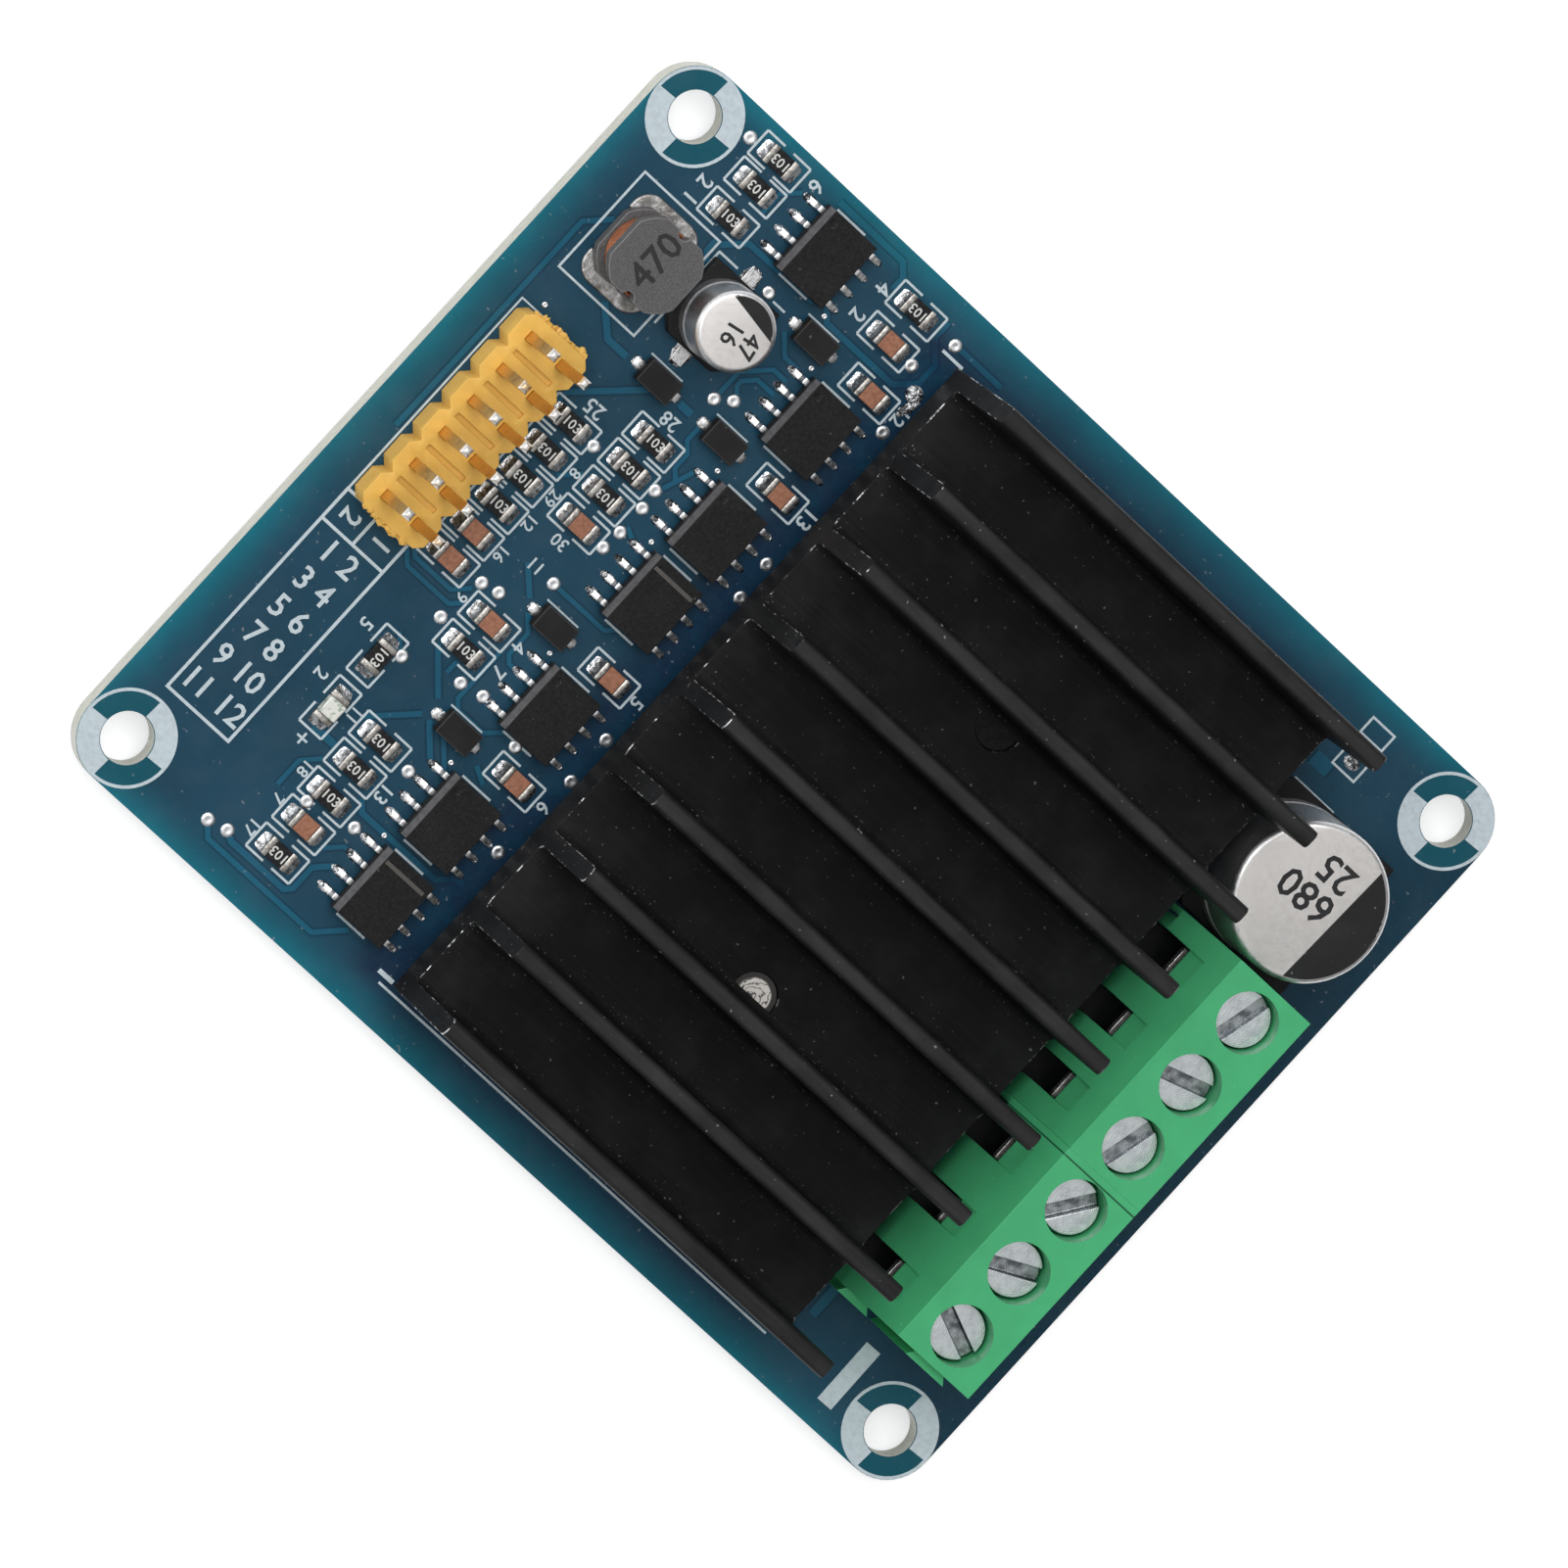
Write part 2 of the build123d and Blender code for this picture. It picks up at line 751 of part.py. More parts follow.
nodes["circuit_board"] = circuit_board()
nodes["heatsink"] = heatsink()
nodes["heatsink_screws"] = heatsink_screws()
nodes["thermal_pad"] = thermal_pad()
nodes["power_transistors"] = transistor_bodies()
nodes["power_transistor_tabs"] = transistor_metal()

for block_index in range(terminal_blocks):
    nodes[f"terminal_housing_{block_index + 1}"] = terminal_housing(block_index)
for pole_index, pole_y in enumerate(pole_places):
    slot_angle = terminal_slot_angles[pole_index % len(terminal_slot_angles)]
    nodes[f"terminal_screw_{pole_index + 1}"] = terminal_screw(pole_y, slot_angle)
    nodes[f"wire_clamp_{pole_index + 1}"] = wire_clamp(pole_y)
nodes["terminal_contacts"] = terminal_contacts()

nodes["header_housing"] = header_housing()
nodes["header_pins"] = header_pins()

chips = [("regulator_chip", header_edge + regulator_column, regulator_place)]
chips += [(name, chip_x, y) for name, y in chip_column_places() if name != "capacitor"]
for name, x, y in chips:
    nodes[name] = chip_body(x, y)
    nodes[f"{name}_leads"] = chip_leads(x, y)

for diode_index, (x, y) in enumerate(diode_centres()):
    nodes[f"diode_{diode_index + 1}"] = diode_body(x, y)
nodes["diode_leads"] = diode_leads()

nodes["chip_resistors"] = chip_part_bodies(resistor_places(), resistor_height)
nodes["chip_resistor_ends"] = chip_part_ends(resistor_places(), resistor_height)
nodes["chip_capacitors"] = chip_part_bodies(capacitor_places(), capacitor_height)
nodes["chip_capacitor_ends"] = chip_part_ends(capacitor_places(), capacitor_height)
indicator = [(header_edge + indicator_column, indicator_place, False)]
nodes["indicator_light"] = chip_part_bodies(indicator, led_height)
nodes["indicator_light_ends"] = chip_part_ends(indicator, led_height / 2)

nodes["large_capacitor_can"] = can(large_can_x, large_can_y, large_can_radius, large_can_height)
nodes["large_capacitor_base"] = can_base(large_can_x, large_can_y, large_base_side, (-1, 0))
nodes["large_capacitor_leads"] = can_leads(large_can_x, large_can_y, large_base_side, True)
nodes["small_capacitor_can"] = can(small_can_x, small_can_place, small_can_radius, small_can_height)
nodes["small_capacitor_base"] = can_base(small_can_x, small_can_place, small_base_side, (0, -1))
nodes["small_capacitor_leads"] = can_leads(small_can_x, small_can_place, small_base_side, False)

nodes["inductor_core"] = inductor_core()
nodes["inductor_winding"] = inductor_winding()
nodes["inductor_terminals"] = inductor_terminals()
nodes["solder_joints"] = solder_joints()

os.makedirs("parts", exist_ok=True)
for name, shape in nodes.items():
    export_step(shape, f"parts/{name}.step")
print(len(nodes), "nodes; hole spacing", hole_spacing_x, hole_spacing_y,
      "board", board_length, board_width)
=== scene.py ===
import contextlib
import functools
import json
import math
import random

import bpy
from mathutils import Matrix, Vector


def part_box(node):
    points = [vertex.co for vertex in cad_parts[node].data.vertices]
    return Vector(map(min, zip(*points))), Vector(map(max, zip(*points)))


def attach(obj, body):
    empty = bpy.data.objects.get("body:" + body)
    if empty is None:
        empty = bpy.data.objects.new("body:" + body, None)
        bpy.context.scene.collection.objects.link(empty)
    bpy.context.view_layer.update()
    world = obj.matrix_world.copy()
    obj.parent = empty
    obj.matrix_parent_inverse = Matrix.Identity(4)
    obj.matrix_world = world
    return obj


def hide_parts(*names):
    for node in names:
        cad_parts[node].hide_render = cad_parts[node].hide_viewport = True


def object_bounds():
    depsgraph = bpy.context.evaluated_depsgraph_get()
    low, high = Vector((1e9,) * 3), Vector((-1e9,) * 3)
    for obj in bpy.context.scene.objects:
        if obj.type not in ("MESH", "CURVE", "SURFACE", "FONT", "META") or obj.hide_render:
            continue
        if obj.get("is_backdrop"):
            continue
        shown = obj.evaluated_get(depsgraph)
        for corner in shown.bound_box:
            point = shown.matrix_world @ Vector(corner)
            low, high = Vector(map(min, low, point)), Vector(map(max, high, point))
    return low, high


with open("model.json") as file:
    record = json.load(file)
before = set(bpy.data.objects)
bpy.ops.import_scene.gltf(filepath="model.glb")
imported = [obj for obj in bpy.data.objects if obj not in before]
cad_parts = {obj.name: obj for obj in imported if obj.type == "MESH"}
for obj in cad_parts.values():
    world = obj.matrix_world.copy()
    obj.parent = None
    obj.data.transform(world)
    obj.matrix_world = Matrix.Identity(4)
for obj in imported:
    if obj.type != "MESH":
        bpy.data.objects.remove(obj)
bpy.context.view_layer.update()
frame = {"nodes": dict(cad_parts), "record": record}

bl_info = {
    "name": "Motor Driver Board",
    "version": (1, 0, 0),
    "blender": (4, 5, 0),
    "location": "View3D > Sidebar > Motor Board",
    "description": "Gives the packed motor driver board its solder, tracks, print, finishes and studio",
    "category": "Object",
}

MM = 0.001
QUARTER_TURN = math.radians(90)

# Places read from the frame, and how far a mounting hole is from the edges
BOARD_LOW, BOARD_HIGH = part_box("circuit_board")
BOARD_TOP = BOARD_HIGH.z
BOARD_HALF_LENGTH = (BOARD_HIGH.x - BOARD_LOW.x) / 2
BOARD_HALF_WIDTH = (BOARD_HIGH.y - BOARD_LOW.y) / 2
HOLE_INSET = 3.1 * MM
HEATSINK_LOW, HEATSINK_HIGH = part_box("heatsink")
LOGIC_CHIPS = ["logic_chip_1", "logic_chip_2"]
CHIPS = ["regulator_chip", "gate_driver_1", "gate_driver_2", "gate_driver_3", "gate_driver_4", *LOGIC_CHIPS]
DIODES = [f"diode_{place}" for place in range(1, 6)]
TWO_ENDED = ["chip_resistor_ends", "chip_capacitor_ends", "indicator_light_ends"]
POLES = range(1, 7)

# How near vertices are merged, how far flat pieces sink in, and how much crossing strips differ in height
MERGE_REACH = 0.0005 * MM
SUNK = 0.02 * MM
LAYER_STEP = 0.0006 * MM
# Heights of the solder on a via, and the size of a small one
VIA_RISE = 0.12 * MM
SMALL_VIA = (0.2 * MM, 0.2 * MM, 0.07 * MM)
# Half the distance between two fins, and the heights where a heatsink screw's cut end begins
HALF_FIN_PITCH = 3.05 * MM
SCREW_END = (2.9 * MM, 3.1 * MM)
# A wire window in a terminal block: depth, lowest and highest level, and the line that it slopes along
WINDOW_DEPTH = 2.6 * MM
WINDOW_LEVELS = (2.9 * MM, 7.75 * MM)
WINDOW_SLOPE = (2.26, 3.9 * MM)
# Brackets round the chip parts and thickness of print on the board and on a part, in mm
BRACKET_REACH = 1.8
BRACKET_GAP = 0.35
BRACKET_ACROSS = 0.92
THICK_PRINT = 0.008
THIN_PRINT = 0.006
BLACK_INK = (0.02, 0.02, 0.022)
# Burrs on each end of the header, and how far each turn of wire is turned from the last
BURRS_PER_END = 26
TURN_STEP = 0.37


# What the frame says of its nodes
def top_centre(node):
    """The middle of a node's top."""
    low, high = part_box(node)
    return ((low.x + high.x) / 2, (low.y + high.y) / 2, high.z)


def body_of_node(node):
    """The CAD body that a node rides on."""
    for body, members in frame["record"]["behaviour"]["bodies"].items():
        if node in members:
            return body
    raise RuntimeError(f"no body holds {node}")


def solids_of(node):
    """Lowest and highest corner of each separate solid of a CAD node."""
    mesh = frame["nodes"][node].data
    corners = [tuple(round(value, 6) for value in vertex.co) for vertex in mesh.vertices]
    leader = {corner: corner for corner in corners}

    def lead(corner):
        while leader[corner] != corner:
            leader[corner] = leader[leader[corner]]
            corner = leader[corner]
        return corner

    for face in mesh.polygons:
        first = lead(corners[face.vertices[0]])
        for index in face.vertices[1:]:
            leader[lead(corners[index])] = first
    members = {}
    for corner in leader:
        members.setdefault(lead(corner), []).append(corner)
    boxes = []
    for points in members.values():
        low = Vector([min(point[axis] for point in points) for axis in range(3)])
        high = Vector([max(point[axis] for point in points) for axis in range(3)])
        boxes.append((low, high))
    return sorted(boxes, key=lambda box: (round(box[0].x, 5), round(box[0].y, 5)))


# Sizes, colours and stage that a user would change
def length(name, description, default):
    return bpy.props.FloatProperty(name=name, description=description, default=default,
                                   min=0.0, soft_max=0.01, precision=5, unit="LENGTH")


def colour(name, description, default):
    return bpy.props.FloatVectorProperty(name=name, description=description, default=default,
                                         size=3, min=0.0, max=1.0, subtype="COLOR")


class MotorBoardSizes(bpy.types.PropertyGroup):
    track_height: length("Track height", "How far a covered track stands up", 0.012 * MM)
    print_height: length("Print height", "How far the printed legend stands up", 0.05 * MM)
    fin_edge: length("Fin edge", "Rounding of the heatsink's cut edges", 0.07 * MM)
    moulding_edge: length("Moulding edge", "Rounding of the terminal and header edges", 0.09 * MM)
    chip_edge: length("Chip edge", "Rounding of the chip bodies", 0.05 * MM)
    lead_edge: length("Lead edge", "Rounding of the bent leads", 0.05 * MM)
    screw_edge: length("Screw edge", "Rounding of the screw heads and slots", 0.07 * MM)
    wire_radius: length("Wire radius", "Radius of the inductor's wire", 0.14 * MM)
    via_radius: length("Via radius", "Radius of a filled via", 0.45 * MM)


class MotorBoardColours(bpy.types.PropertyGroup):
    mask: colour("Solder mask", "Dark blue of the board", (0.011, 0.044, 0.074))
    mask_edge: colour("Mask at the edge", "Teal near the board's edge", (0.006, 0.135, 0.185))
    track: colour("Covered copper", "Lighter blue over copper", (0.010, 0.077, 0.130))
    laminate: colour("Laminate", "Cut edge of the glass laminate", (0.52, 0.53, 0.46))
    ink: colour("Legend ink", "White print on the board", (0.50, 0.58, 0.62))
    solder: colour("Solder", "Bright solder", (0.80, 0.81, 0.83))
    tin: colour("Tin plate", "Plated leads and part ends", (0.74, 0.74, 0.75))
    anodised: colour("Anodised black", "The heatsink's finish", (0.0105, 0.0105, 0.0108))
    aluminium: colour("Bare aluminium", "Cut edges and capacitor cans", (0.72, 0.72, 0.73))
    terminal: colour("Terminal green", "The terminal blocks' moulding", (0.066, 0.425, 0.182))
    header: colour("Header yellow", "The pin header's moulding", (0.77, 0.46, 0.098))
    chip: colour("Chip black", "Moulding compound of the chips", (0.0135, 0.0135, 0.014))
    zinc: colour("Zinc", "Plating of the terminal screws", (0.72, 0.76, 0.78))
    gold: colour("Gold flash", "Plating of the header pins", (0.72, 0.42, 0.12))
    copper: colour("Copper wire", "Enamelled wire of the inductor", (0.38, 0.12, 0.045))
    ferrite: colour("Ferrite", "Core of the inductor", (0.083, 0.081, 0.082))
    ceramic: colour("Capacitor brown", "Body of the chip capacitors", (0.30, 0.135, 0.082))
    gap: colour("Bare gap", "Mask over the gaps beside a track", (0.007, 0.034, 0.060))


class MotorBoardStage(bpy.types.PropertyGroup):
    camera_place: bpy.props.FloatVectorProperty(
        name="Camera place", description="Where the camera stands", size=3, unit="LENGTH",
        default=(-309.796 * MM, -14.934 * MM, 950.686 * MM))
    camera_right: bpy.props.FloatVectorProperty(
        name="Camera right", description="Direction of the picture's right side", size=3,
        default=(0.698946, 0.674353, 0.238164), subtype="DIRECTION")
    camera_down: bpy.props.FloatVectorProperty(
        name="Camera down", description="Direction of the picture's lower side", size=3,
        default=(0.644482, -0.738269, 0.199003), subtype="DIRECTION")
    lens: bpy.props.FloatProperty(
        name="Lens", description="Focal length in mm on a 36 mm sensor", default=381.966, min=10.0)
    key_power: bpy.props.FloatProperty(
        name="Key light", description="Power of the large soft lamp in watts", default=2.8, min=0.0)
    rim_power: bpy.props.FloatProperty(
        name="Side light", description="Power of the low side lamp in watts", default=0.5, min=0.0)
    fill: bpy.props.FloatProperty(
        name="Room light", description="Strength of the room overhead", default=0.78, min=0.0)


def sizes():
    return bpy.context.scene.motor_board_sizes


def colours():
    return bpy.context.scene.motor_board_colours


# Working on one mesh at a time
def alone(piece):
    """Select and activate only this piece."""
    bpy.ops.object.select_all(action="DESELECT")
    piece.select_set(True)
    bpy.context.view_layer.objects.active = piece


@contextlib.contextmanager
def editing(piece):
    """Edit mode with everything selected, left again at the end."""
    alone(piece)
    bpy.ops.object.mode_set(mode="EDIT")
    bpy.ops.mesh.select_all(action="SELECT")
    yield
    bpy.ops.object.mode_set(mode="OBJECT")


def settle(piece):
    """Put the piece's place into its mesh, so that its object sits at the origin."""
    alone(piece)
    bpy.ops.object.transform_apply(location=True, rotation=True, scale=True)


def smooth(piece, degrees):
    alone(piece)
    bpy.ops.object.shade_smooth_by_angle(angle=math.radians(degrees))


def turn_faces_out(piece):
    with editing(piece):
        bpy.ops.mesh.normals_make_consistent(inside=False)


def apply_modifier(piece, kind, **values):
    """Add a modifier, set it up and apply it."""
    alone(piece)
    modifier = piece.modifiers.new(kind.title(), kind)
    for name, value in values.items():
        setattr(modifier, name, value)
    bpy.ops.object.modifier_apply(modifier=modifier.name)


def join(pieces, name):
    """Join pieces into one mesh under a new name."""
    bpy.ops.object.select_all(action="DESELECT")
    for piece in pieces:
        piece.select_set(True)
    bpy.context.view_layer.objects.active = pieces[0]
    if len(pieces) > 1:
        bpy.ops.object.join()
    joined = bpy.context.view_layer.objects.active
    joined.name = name
    joined.data.name = name
    settle(joined)
    return joined


def repeat(pattern, places, name):
    """Copies of a pattern at each place, joined. A place is (x, y, z, turn, (sx, sy, sz))."""
    copies = []
    for x, y, z, turn, stretch in places:
        copy = pattern.copy()
        copy.data = pattern.data.copy()
        bpy.context.collection.objects.link(copy)
        copy.matrix_world = (Matrix.Translation((x, y, z)) @ Matrix.Rotation(turn, 4, "Z")
                             @ Matrix.Diagonal((*stretch, 1.0)))
        copies.append(copy)
    bpy.data.objects.remove(pattern)
    return join(copies, name)


def paint(piece, finish):
    """Give a piece one finish."""
    piece.data.materials.clear()
    piece.data.materials.append(finish)


def carry(piece, finish, body="board"):
    """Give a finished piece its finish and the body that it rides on."""
    paint(piece, finish)
    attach(piece, body)


def paint_node(node, finish):
    """Give a CAD node that stays its finish."""
    held = frame["nodes"][node]
    if not held.material_slots:
        held.data.materials.append(finish)
    for slot in held.material_slots:
        slot.material = finish


def dressed(node, finish, edge, rounds=2, sharp=35.0, shade=40.0, flat=0.5):
    """A merged copy of a CAD node with softened edges, which stands for it."""
    piece = bpy.data.objects.new(f"{node}_dressed", frame["nodes"][node].data.copy())
    bpy.context.collection.objects.link(piece)
    alone(piece)
    bpy.ops.mesh.customdata_custom_splitnormals_clear()
    with editing(piece):
        bpy.ops.mesh.remove_doubles(threshold=MERGE_REACH)
        if flat:
            bpy.ops.mesh.dissolve_limited(angle_limit=math.radians(flat))
    if edge:
        apply_modifier(piece, "BEVEL", width=edge, segments=rounds, limit_method="ANGLE",
                       angle_limit=math.radians(sharp), miter_outer="MITER_ARC")
    smooth(piece, shade)
    if edge:
        apply_modifier(piece, "WEIGHTED_NORMAL", keep_sharp=True)
    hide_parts(node)
    carry(piece, finish, body_of_node(node))


# Shader nodes
class Nodes:
    """Short ways to add shader nodes to a tree and join them."""

    def __init__(self, tree):
        self.tree = tree

    def feed(self, socket, value):
        """Join a socket to a node's output, or set it."""
        if isinstance(value, bpy.types.NodeSocket):
            self.tree.links.new(value, socket)
        elif socket.type == "RGBA":
            socket.default_value = (*tuple(value)[:3], 1.0)
        else:
            socket.default_value = value

    def node(self, kind, inputs=(), **settings):
        """A new node with its settings and its named inputs."""
        made = self.tree.nodes.new(kind)
        for name, value in settings.items():
            setattr(made, name, value)
        for name, value in dict(inputs).items():
            self.feed(made.inputs[name], value)
        return made

    def span(self, value, low, high, first=0.0, last=1.0):
        """Map a value from low..high to first..last, clamped."""
        mapped = self.node("ShaderNodeMapRange", {"Value": value, "From Min": low, "From Max": high,
                                                  "To Min": first, "To Max": last})
        return mapped.outputs["Result"]

    def step(self, operation, first, second=0.0):
        """One arithmetic step."""
        return self.node("ShaderNodeMath", enumerate((first, second)), operation=operation).outputs["Value"]

    def times(self, first, second):
        return self.step("MULTIPLY", first, second)

    def plus(self, first, second):
        return self.step("ADD", first, second)

    def most(self, first, second):
        return self.step("MAXIMUM", first, second)


class Finish(Nodes):
    """A material in the making. Grains and depths are in mm, and other lengths in metres."""

    def __init__(self, name, roughness=0.5, metallic=0.0, specular=0.5):
        self.material = bpy.data.materials.new(name)
        self.material.use_nodes = True
        super().__init__(self.material.node_tree)
        self.shader = self.tree.nodes["Principled BSDF"]
        self.give("Roughness", roughness)
        self.give("Metallic", metallic)
        self.give("Specular IOR Level", specular)
        self.place = self.node("ShaderNodeTexCoord").outputs["Object"]

    def give(self, name, value):
        """Set or join one of the shader's sockets."""
        self.feed(self.shader.inputs[name], value)

    def shifted(self, centre=(0, 0, 0), stretch=(1, 1, 1)):
        """Object coordinates measured from a centre and stretched."""
        start = [-c * s for c, s in zip(centre, stretch)]
        mapping = self.node("ShaderNodeMapping", {"Vector": self.place, "Location": start, "Scale": stretch})
        return mapping.outputs["Vector"]

    def noise(self, grain, detail=3.0, stretch=(1, 1, 1), rough=0.55, centre=(0, 0, 0)):
        """Noise whose features are about one grain across."""
        texture = self.node("ShaderNodeTexNoise", {"Vector": self.shifted(centre, stretch), "Detail": detail,
                                                   "Scale": 1.0 / (grain * MM), "Roughness": rough})
        return texture.outputs["Fac"]

    def cells(self, grain):
        """Voronoi cells about one grain apart."""
        texture = self.node("ShaderNodeTexVoronoi", {"Scale": 1.0 / (grain * MM), "Vector": self.shifted()})
        return texture.outputs["Distance"]

    def rings(self, centre, grain):
        """Rings about one grain apart round an upright axis."""
        texture = self.node("ShaderNodeTexWave", {"Scale": 1.0 / (grain * MM), "Distortion": 1.5,
                                                  "Vector": self.shifted(centre)},
                            wave_type="RINGS", rings_direction="Z")
        return texture.outputs["Fac"]

    def mix(self, share, first, second):
        """Blend two colours."""
        return self.node("ShaderNodeMix", {"Factor": share, 6: first, 7: second}, data_type="RGBA").outputs[2]

    def mottled(self, first, second, grain, low, high, detail=3.0, stretch=(1, 1, 1)):
        """Two colours mixed by noise, whose low..high goes from the first to the second."""
        return self.mix(self.span(self.noise(grain, detail, stretch), low, high), first, second)

    def axis(self, index, centre=(0, 0, 0)):
        """One object coordinate, measured from a centre."""
        return self.node("ShaderNodeSeparateXYZ", {0: self.shifted(centre)}).outputs[index]

    def slant(self, index):
        """How far the surface leans along an axis, from -1 to 1."""
        normal = self.node("ShaderNodeNewGeometry").outputs["True Normal"]
        return self.node("ShaderNodeSeparateXYZ", {0: normal}).outputs[index]

    def facing(self, index):
        """How far the surface faces along an axis, from 0 to 1."""
        return self.step("ABSOLUTE", self.slant(index))

    def between(self, value, low, high, blur):
        """One where a value lies between two limits, else nought."""
        return self.times(self.span(value, low - blur, low + blur),
                          self.span(value, high - blur, high + blur, 1.0, 0.0))

    def distance(self, across, along):
        """Distance made up of two distances at a right angle."""
        return self.step("SQRT", self.plus(self.times(across, across), self.times(along, along)))

    def radius(self, centre):
        """Distance from an upright axis."""
        return self.distance(self.axis(0, centre), self.axis(1, centre))

    def base(self, value):
        self.give("Base Color", value)

    def cover(self, share, colour):
        """Lay one more colour over the base."""
        under = self.shader.inputs["Base Color"].links[0].from_socket
        self.base(self.mix(share, under, colour))

    def worn(self, grain, first, last, detail=3.0):
        """Roughness that wanders between two values."""
        self.give("Roughness", self.span(self.noise(grain, detail), 0.3, 0.7, first, last))

    def relief(self, height, depth, strength):
        """Fine relief of one depth."""
        bump = self.node("ShaderNodeBump", {"Strength": strength, "Distance": depth * MM, "Height": height})
        self.give("Normal", bump.outputs["Normal"])

    def pitted(self, grain, depth, strength, detail=3.0, stretch=(1, 1, 1)):
        """Fine relief made of noise."""
        self.relief(self.noise(grain, detail, stretch), depth, strength)

    def dust(self, base, amount, tint=(0.35, 0.36, 0.37)):
        """Pale specks and a thin uneven film of dust over a colour."""
        specks = self.span(self.noise(0.35, 1.0), 0.74, 0.80, 0.0, 0.55 * amount)
        film = self.span(self.noise(3.0, 4.0), 0.45, 0.9, 0.0, 0.05 * amount)
        return self.mix(self.most(specks, film), base, tint)


def made_once(maker):
    """Make a finish when it is first asked for, and hand out that material from then on."""
    @functools.cache
    def material(*details):
        return maker(*details).material
    return material


def tone(value, factor):
    """A colour made lighter or darker."""
    return [factor * part for part in value]


def grey(level):
    return (level, level, level)


# Finishes of the board
def mask_base(finish, centre_colour, edge_colour):
    """Blue that turns teal towards the board's edge, mottled as mask over copper is, with painted shade
    beside the heatsink and towards the +X end.
    """
    from_x = finish.plus(BOARD_HALF_LENGTH, finish.axis(0))
    from_y = finish.step("SUBTRACT", BOARD_HALF_WIDTH, finish.step("ABSOLUTE", finish.axis(1)))
    from_edge = finish.step("MINIMUM", from_x, from_y)
    wander = finish.span(finish.noise(4, 2.0), 0.3, 0.7, -0.25 * MM, 0.25 * MM)
    near = finish.span(finish.plus(from_edge, wander), 0.0, 3.0 * MM, 1.0, 0.0)
    blue = finish.mottled(centre_colour, tone(centre_colour, 1.25), 9, 0.35, 0.65)
    blue = finish.mix(finish.times(near, near), blue, edge_colour)
    upper = finish.span(finish.slant(2), 0.0, 0.5)
    # Painted shade: upward faces towards the +X end are darker, where the terminal blocks shade the board.
    far = finish.times(upper, finish.span(finish.axis(0), 29.0 * MM, 33.5 * MM, 0.0, 0.5))
    blue = finish.mix(far, blue, (0.004, 0.020, 0.034))
    # Painted shade: a patchy darker navy on upward faces beside and under the heatsink.
    beside = finish.between(finish.axis(0), HEATSINK_LOW.x - 2.2 * MM, HEATSINK_HIGH.x, 1.0 * MM)
    beside = finish.times(beside, finish.between(finish.axis(1), -26.0 * MM, 25.6 * MM, 0.6 * MM))
    beside = finish.times(beside, upper)
    heatsink_shade = finish.times(beside, finish.span(finish.noise(3), 0.3, 0.6, 0.35, 0.9))
    blue = finish.mix(heatsink_shade, blue, (0.004, 0.014, 0.040))
    across = finish.step("SUBTRACT", finish.step("ABSOLUTE", finish.axis(0)), BOARD_HALF_LENGTH - HOLE_INSET)
    along = finish.step("SUBTRACT", finish.step("ABSOLUTE", finish.axis(1)), BOARD_HALF_WIDTH - HOLE_INSET)
    ring = finish.span(finish.distance(across, along), 2.85 * MM, 2.95 * MM, 0.8, 0.0)
    return finish.mix(ring, blue, (0.005, 0.082, 0.112))


@made_once
def solder_mask():
    finish = Finish("solder_mask", specular=0.14)
    blue = mask_base(finish, colours().mask, colours().mask_edge)
    blue = finish.mix(finish.span(finish.cells(0.45), 0.0, 0.6, 0.0, 0.12), blue, colours().track)
    cut = finish.mottled(tone(colours().laminate, 0.72), colours().laminate, 0.12, 0.35, 0.65, 2.0,
                         (0.15, 0.15, 2.0))
    side = finish.span(finish.facing(2), 0.5, 0.6, 1.0, 0.0)
    finish.base(finish.mix(side, finish.dust(blue, 0.7), cut))
    finish.worn(1.2, 0.22, 0.38)
    finish.pitted(0.5, 0.01, 0.4, 2.0)
    return finish


@made_once
def covered_copper():
    finish = Finish("covered_copper", specular=0.14)
    finish.base(finish.dust(mask_base(finish, colours().track, colours().mask_edge), 0.5))
    finish.worn(0.8, 0.2, 0.36)
    finish.pitted(0.25, 0.008, 0.4)
    return finish


@made_once
def bare_gap():
    finish = Finish("bare_gap", 0.35, specular=0.12)
    finish.base(finish.dust(mask_base(finish, colours().gap, tone(colours().mask_edge, 0.7)), 0.5))
    finish.pitted(0.3, 0.008, 0.4)
    return finish


@made_once
def legend_ink():
    finish = Finish("legend_ink", 0.55, specular=0.3)
    thin = finish.span(finish.noise(0.3), 0.3, 0.62, 0.35, 0.0)
    finish.base(finish.mix(thin, colours().ink, tone(colours().ink, 0.55)))
    finish.pitted(0.08, 0.006, 0.5, 2.0)
    return finish


@made_once
def bright_solder():
    finish = Finish("bright_solder", metallic=1.0)
    plain = finish.mottled(tone(colours().solder, 0.92), tone(colours().solder, 0.4), 0.4, 0.48, 0.6)
    # Painted shade: thin dark lines where the solder creases.
    crease_shade = finish.span(finish.noise(0.22, rough=0.6), 0.52, 0.58, 0.0, 0.85)
    finish.base(finish.mix(crease_shade, plain, tone(colours().solder, 0.13)))
    finish.worn(0.2, 0.2, 0.45)
    finish.pitted(0.2, 0.07, 0.8, 2.0)
    return finish


@made_once
def creased_solder():
    """Solder drawn up round a lead, with painted shade darkening its creases."""
    finish = Finish("creased_solder", metallic=1.0)
    folds = finish.noise(0.42, rough=0.65)
    # Painted shade: the creases of the folds are darkened.
    finish.base(finish.mix(finish.span(folds, 0.46, 0.54), tone(colours().solder, 0.9),
                           tone(colours().solder, 0.10)))
    finish.worn(0.2, 0.25, 0.5)
    finish.relief(folds, 0.3, 1.0)
    return finish


@made_once
def via_solder():
    finish = Finish("via_solder", metallic=1.0)
    finish.base(finish.mix(finish.noise(0.5, 2.0), (0.90, 0.91, 0.93), (0.62, 0.63, 0.65)))
    finish.worn(0.2, 0.28, 0.45)
    finish.pitted(0.2, 0.015, 0.5, 2.0)
    return finish


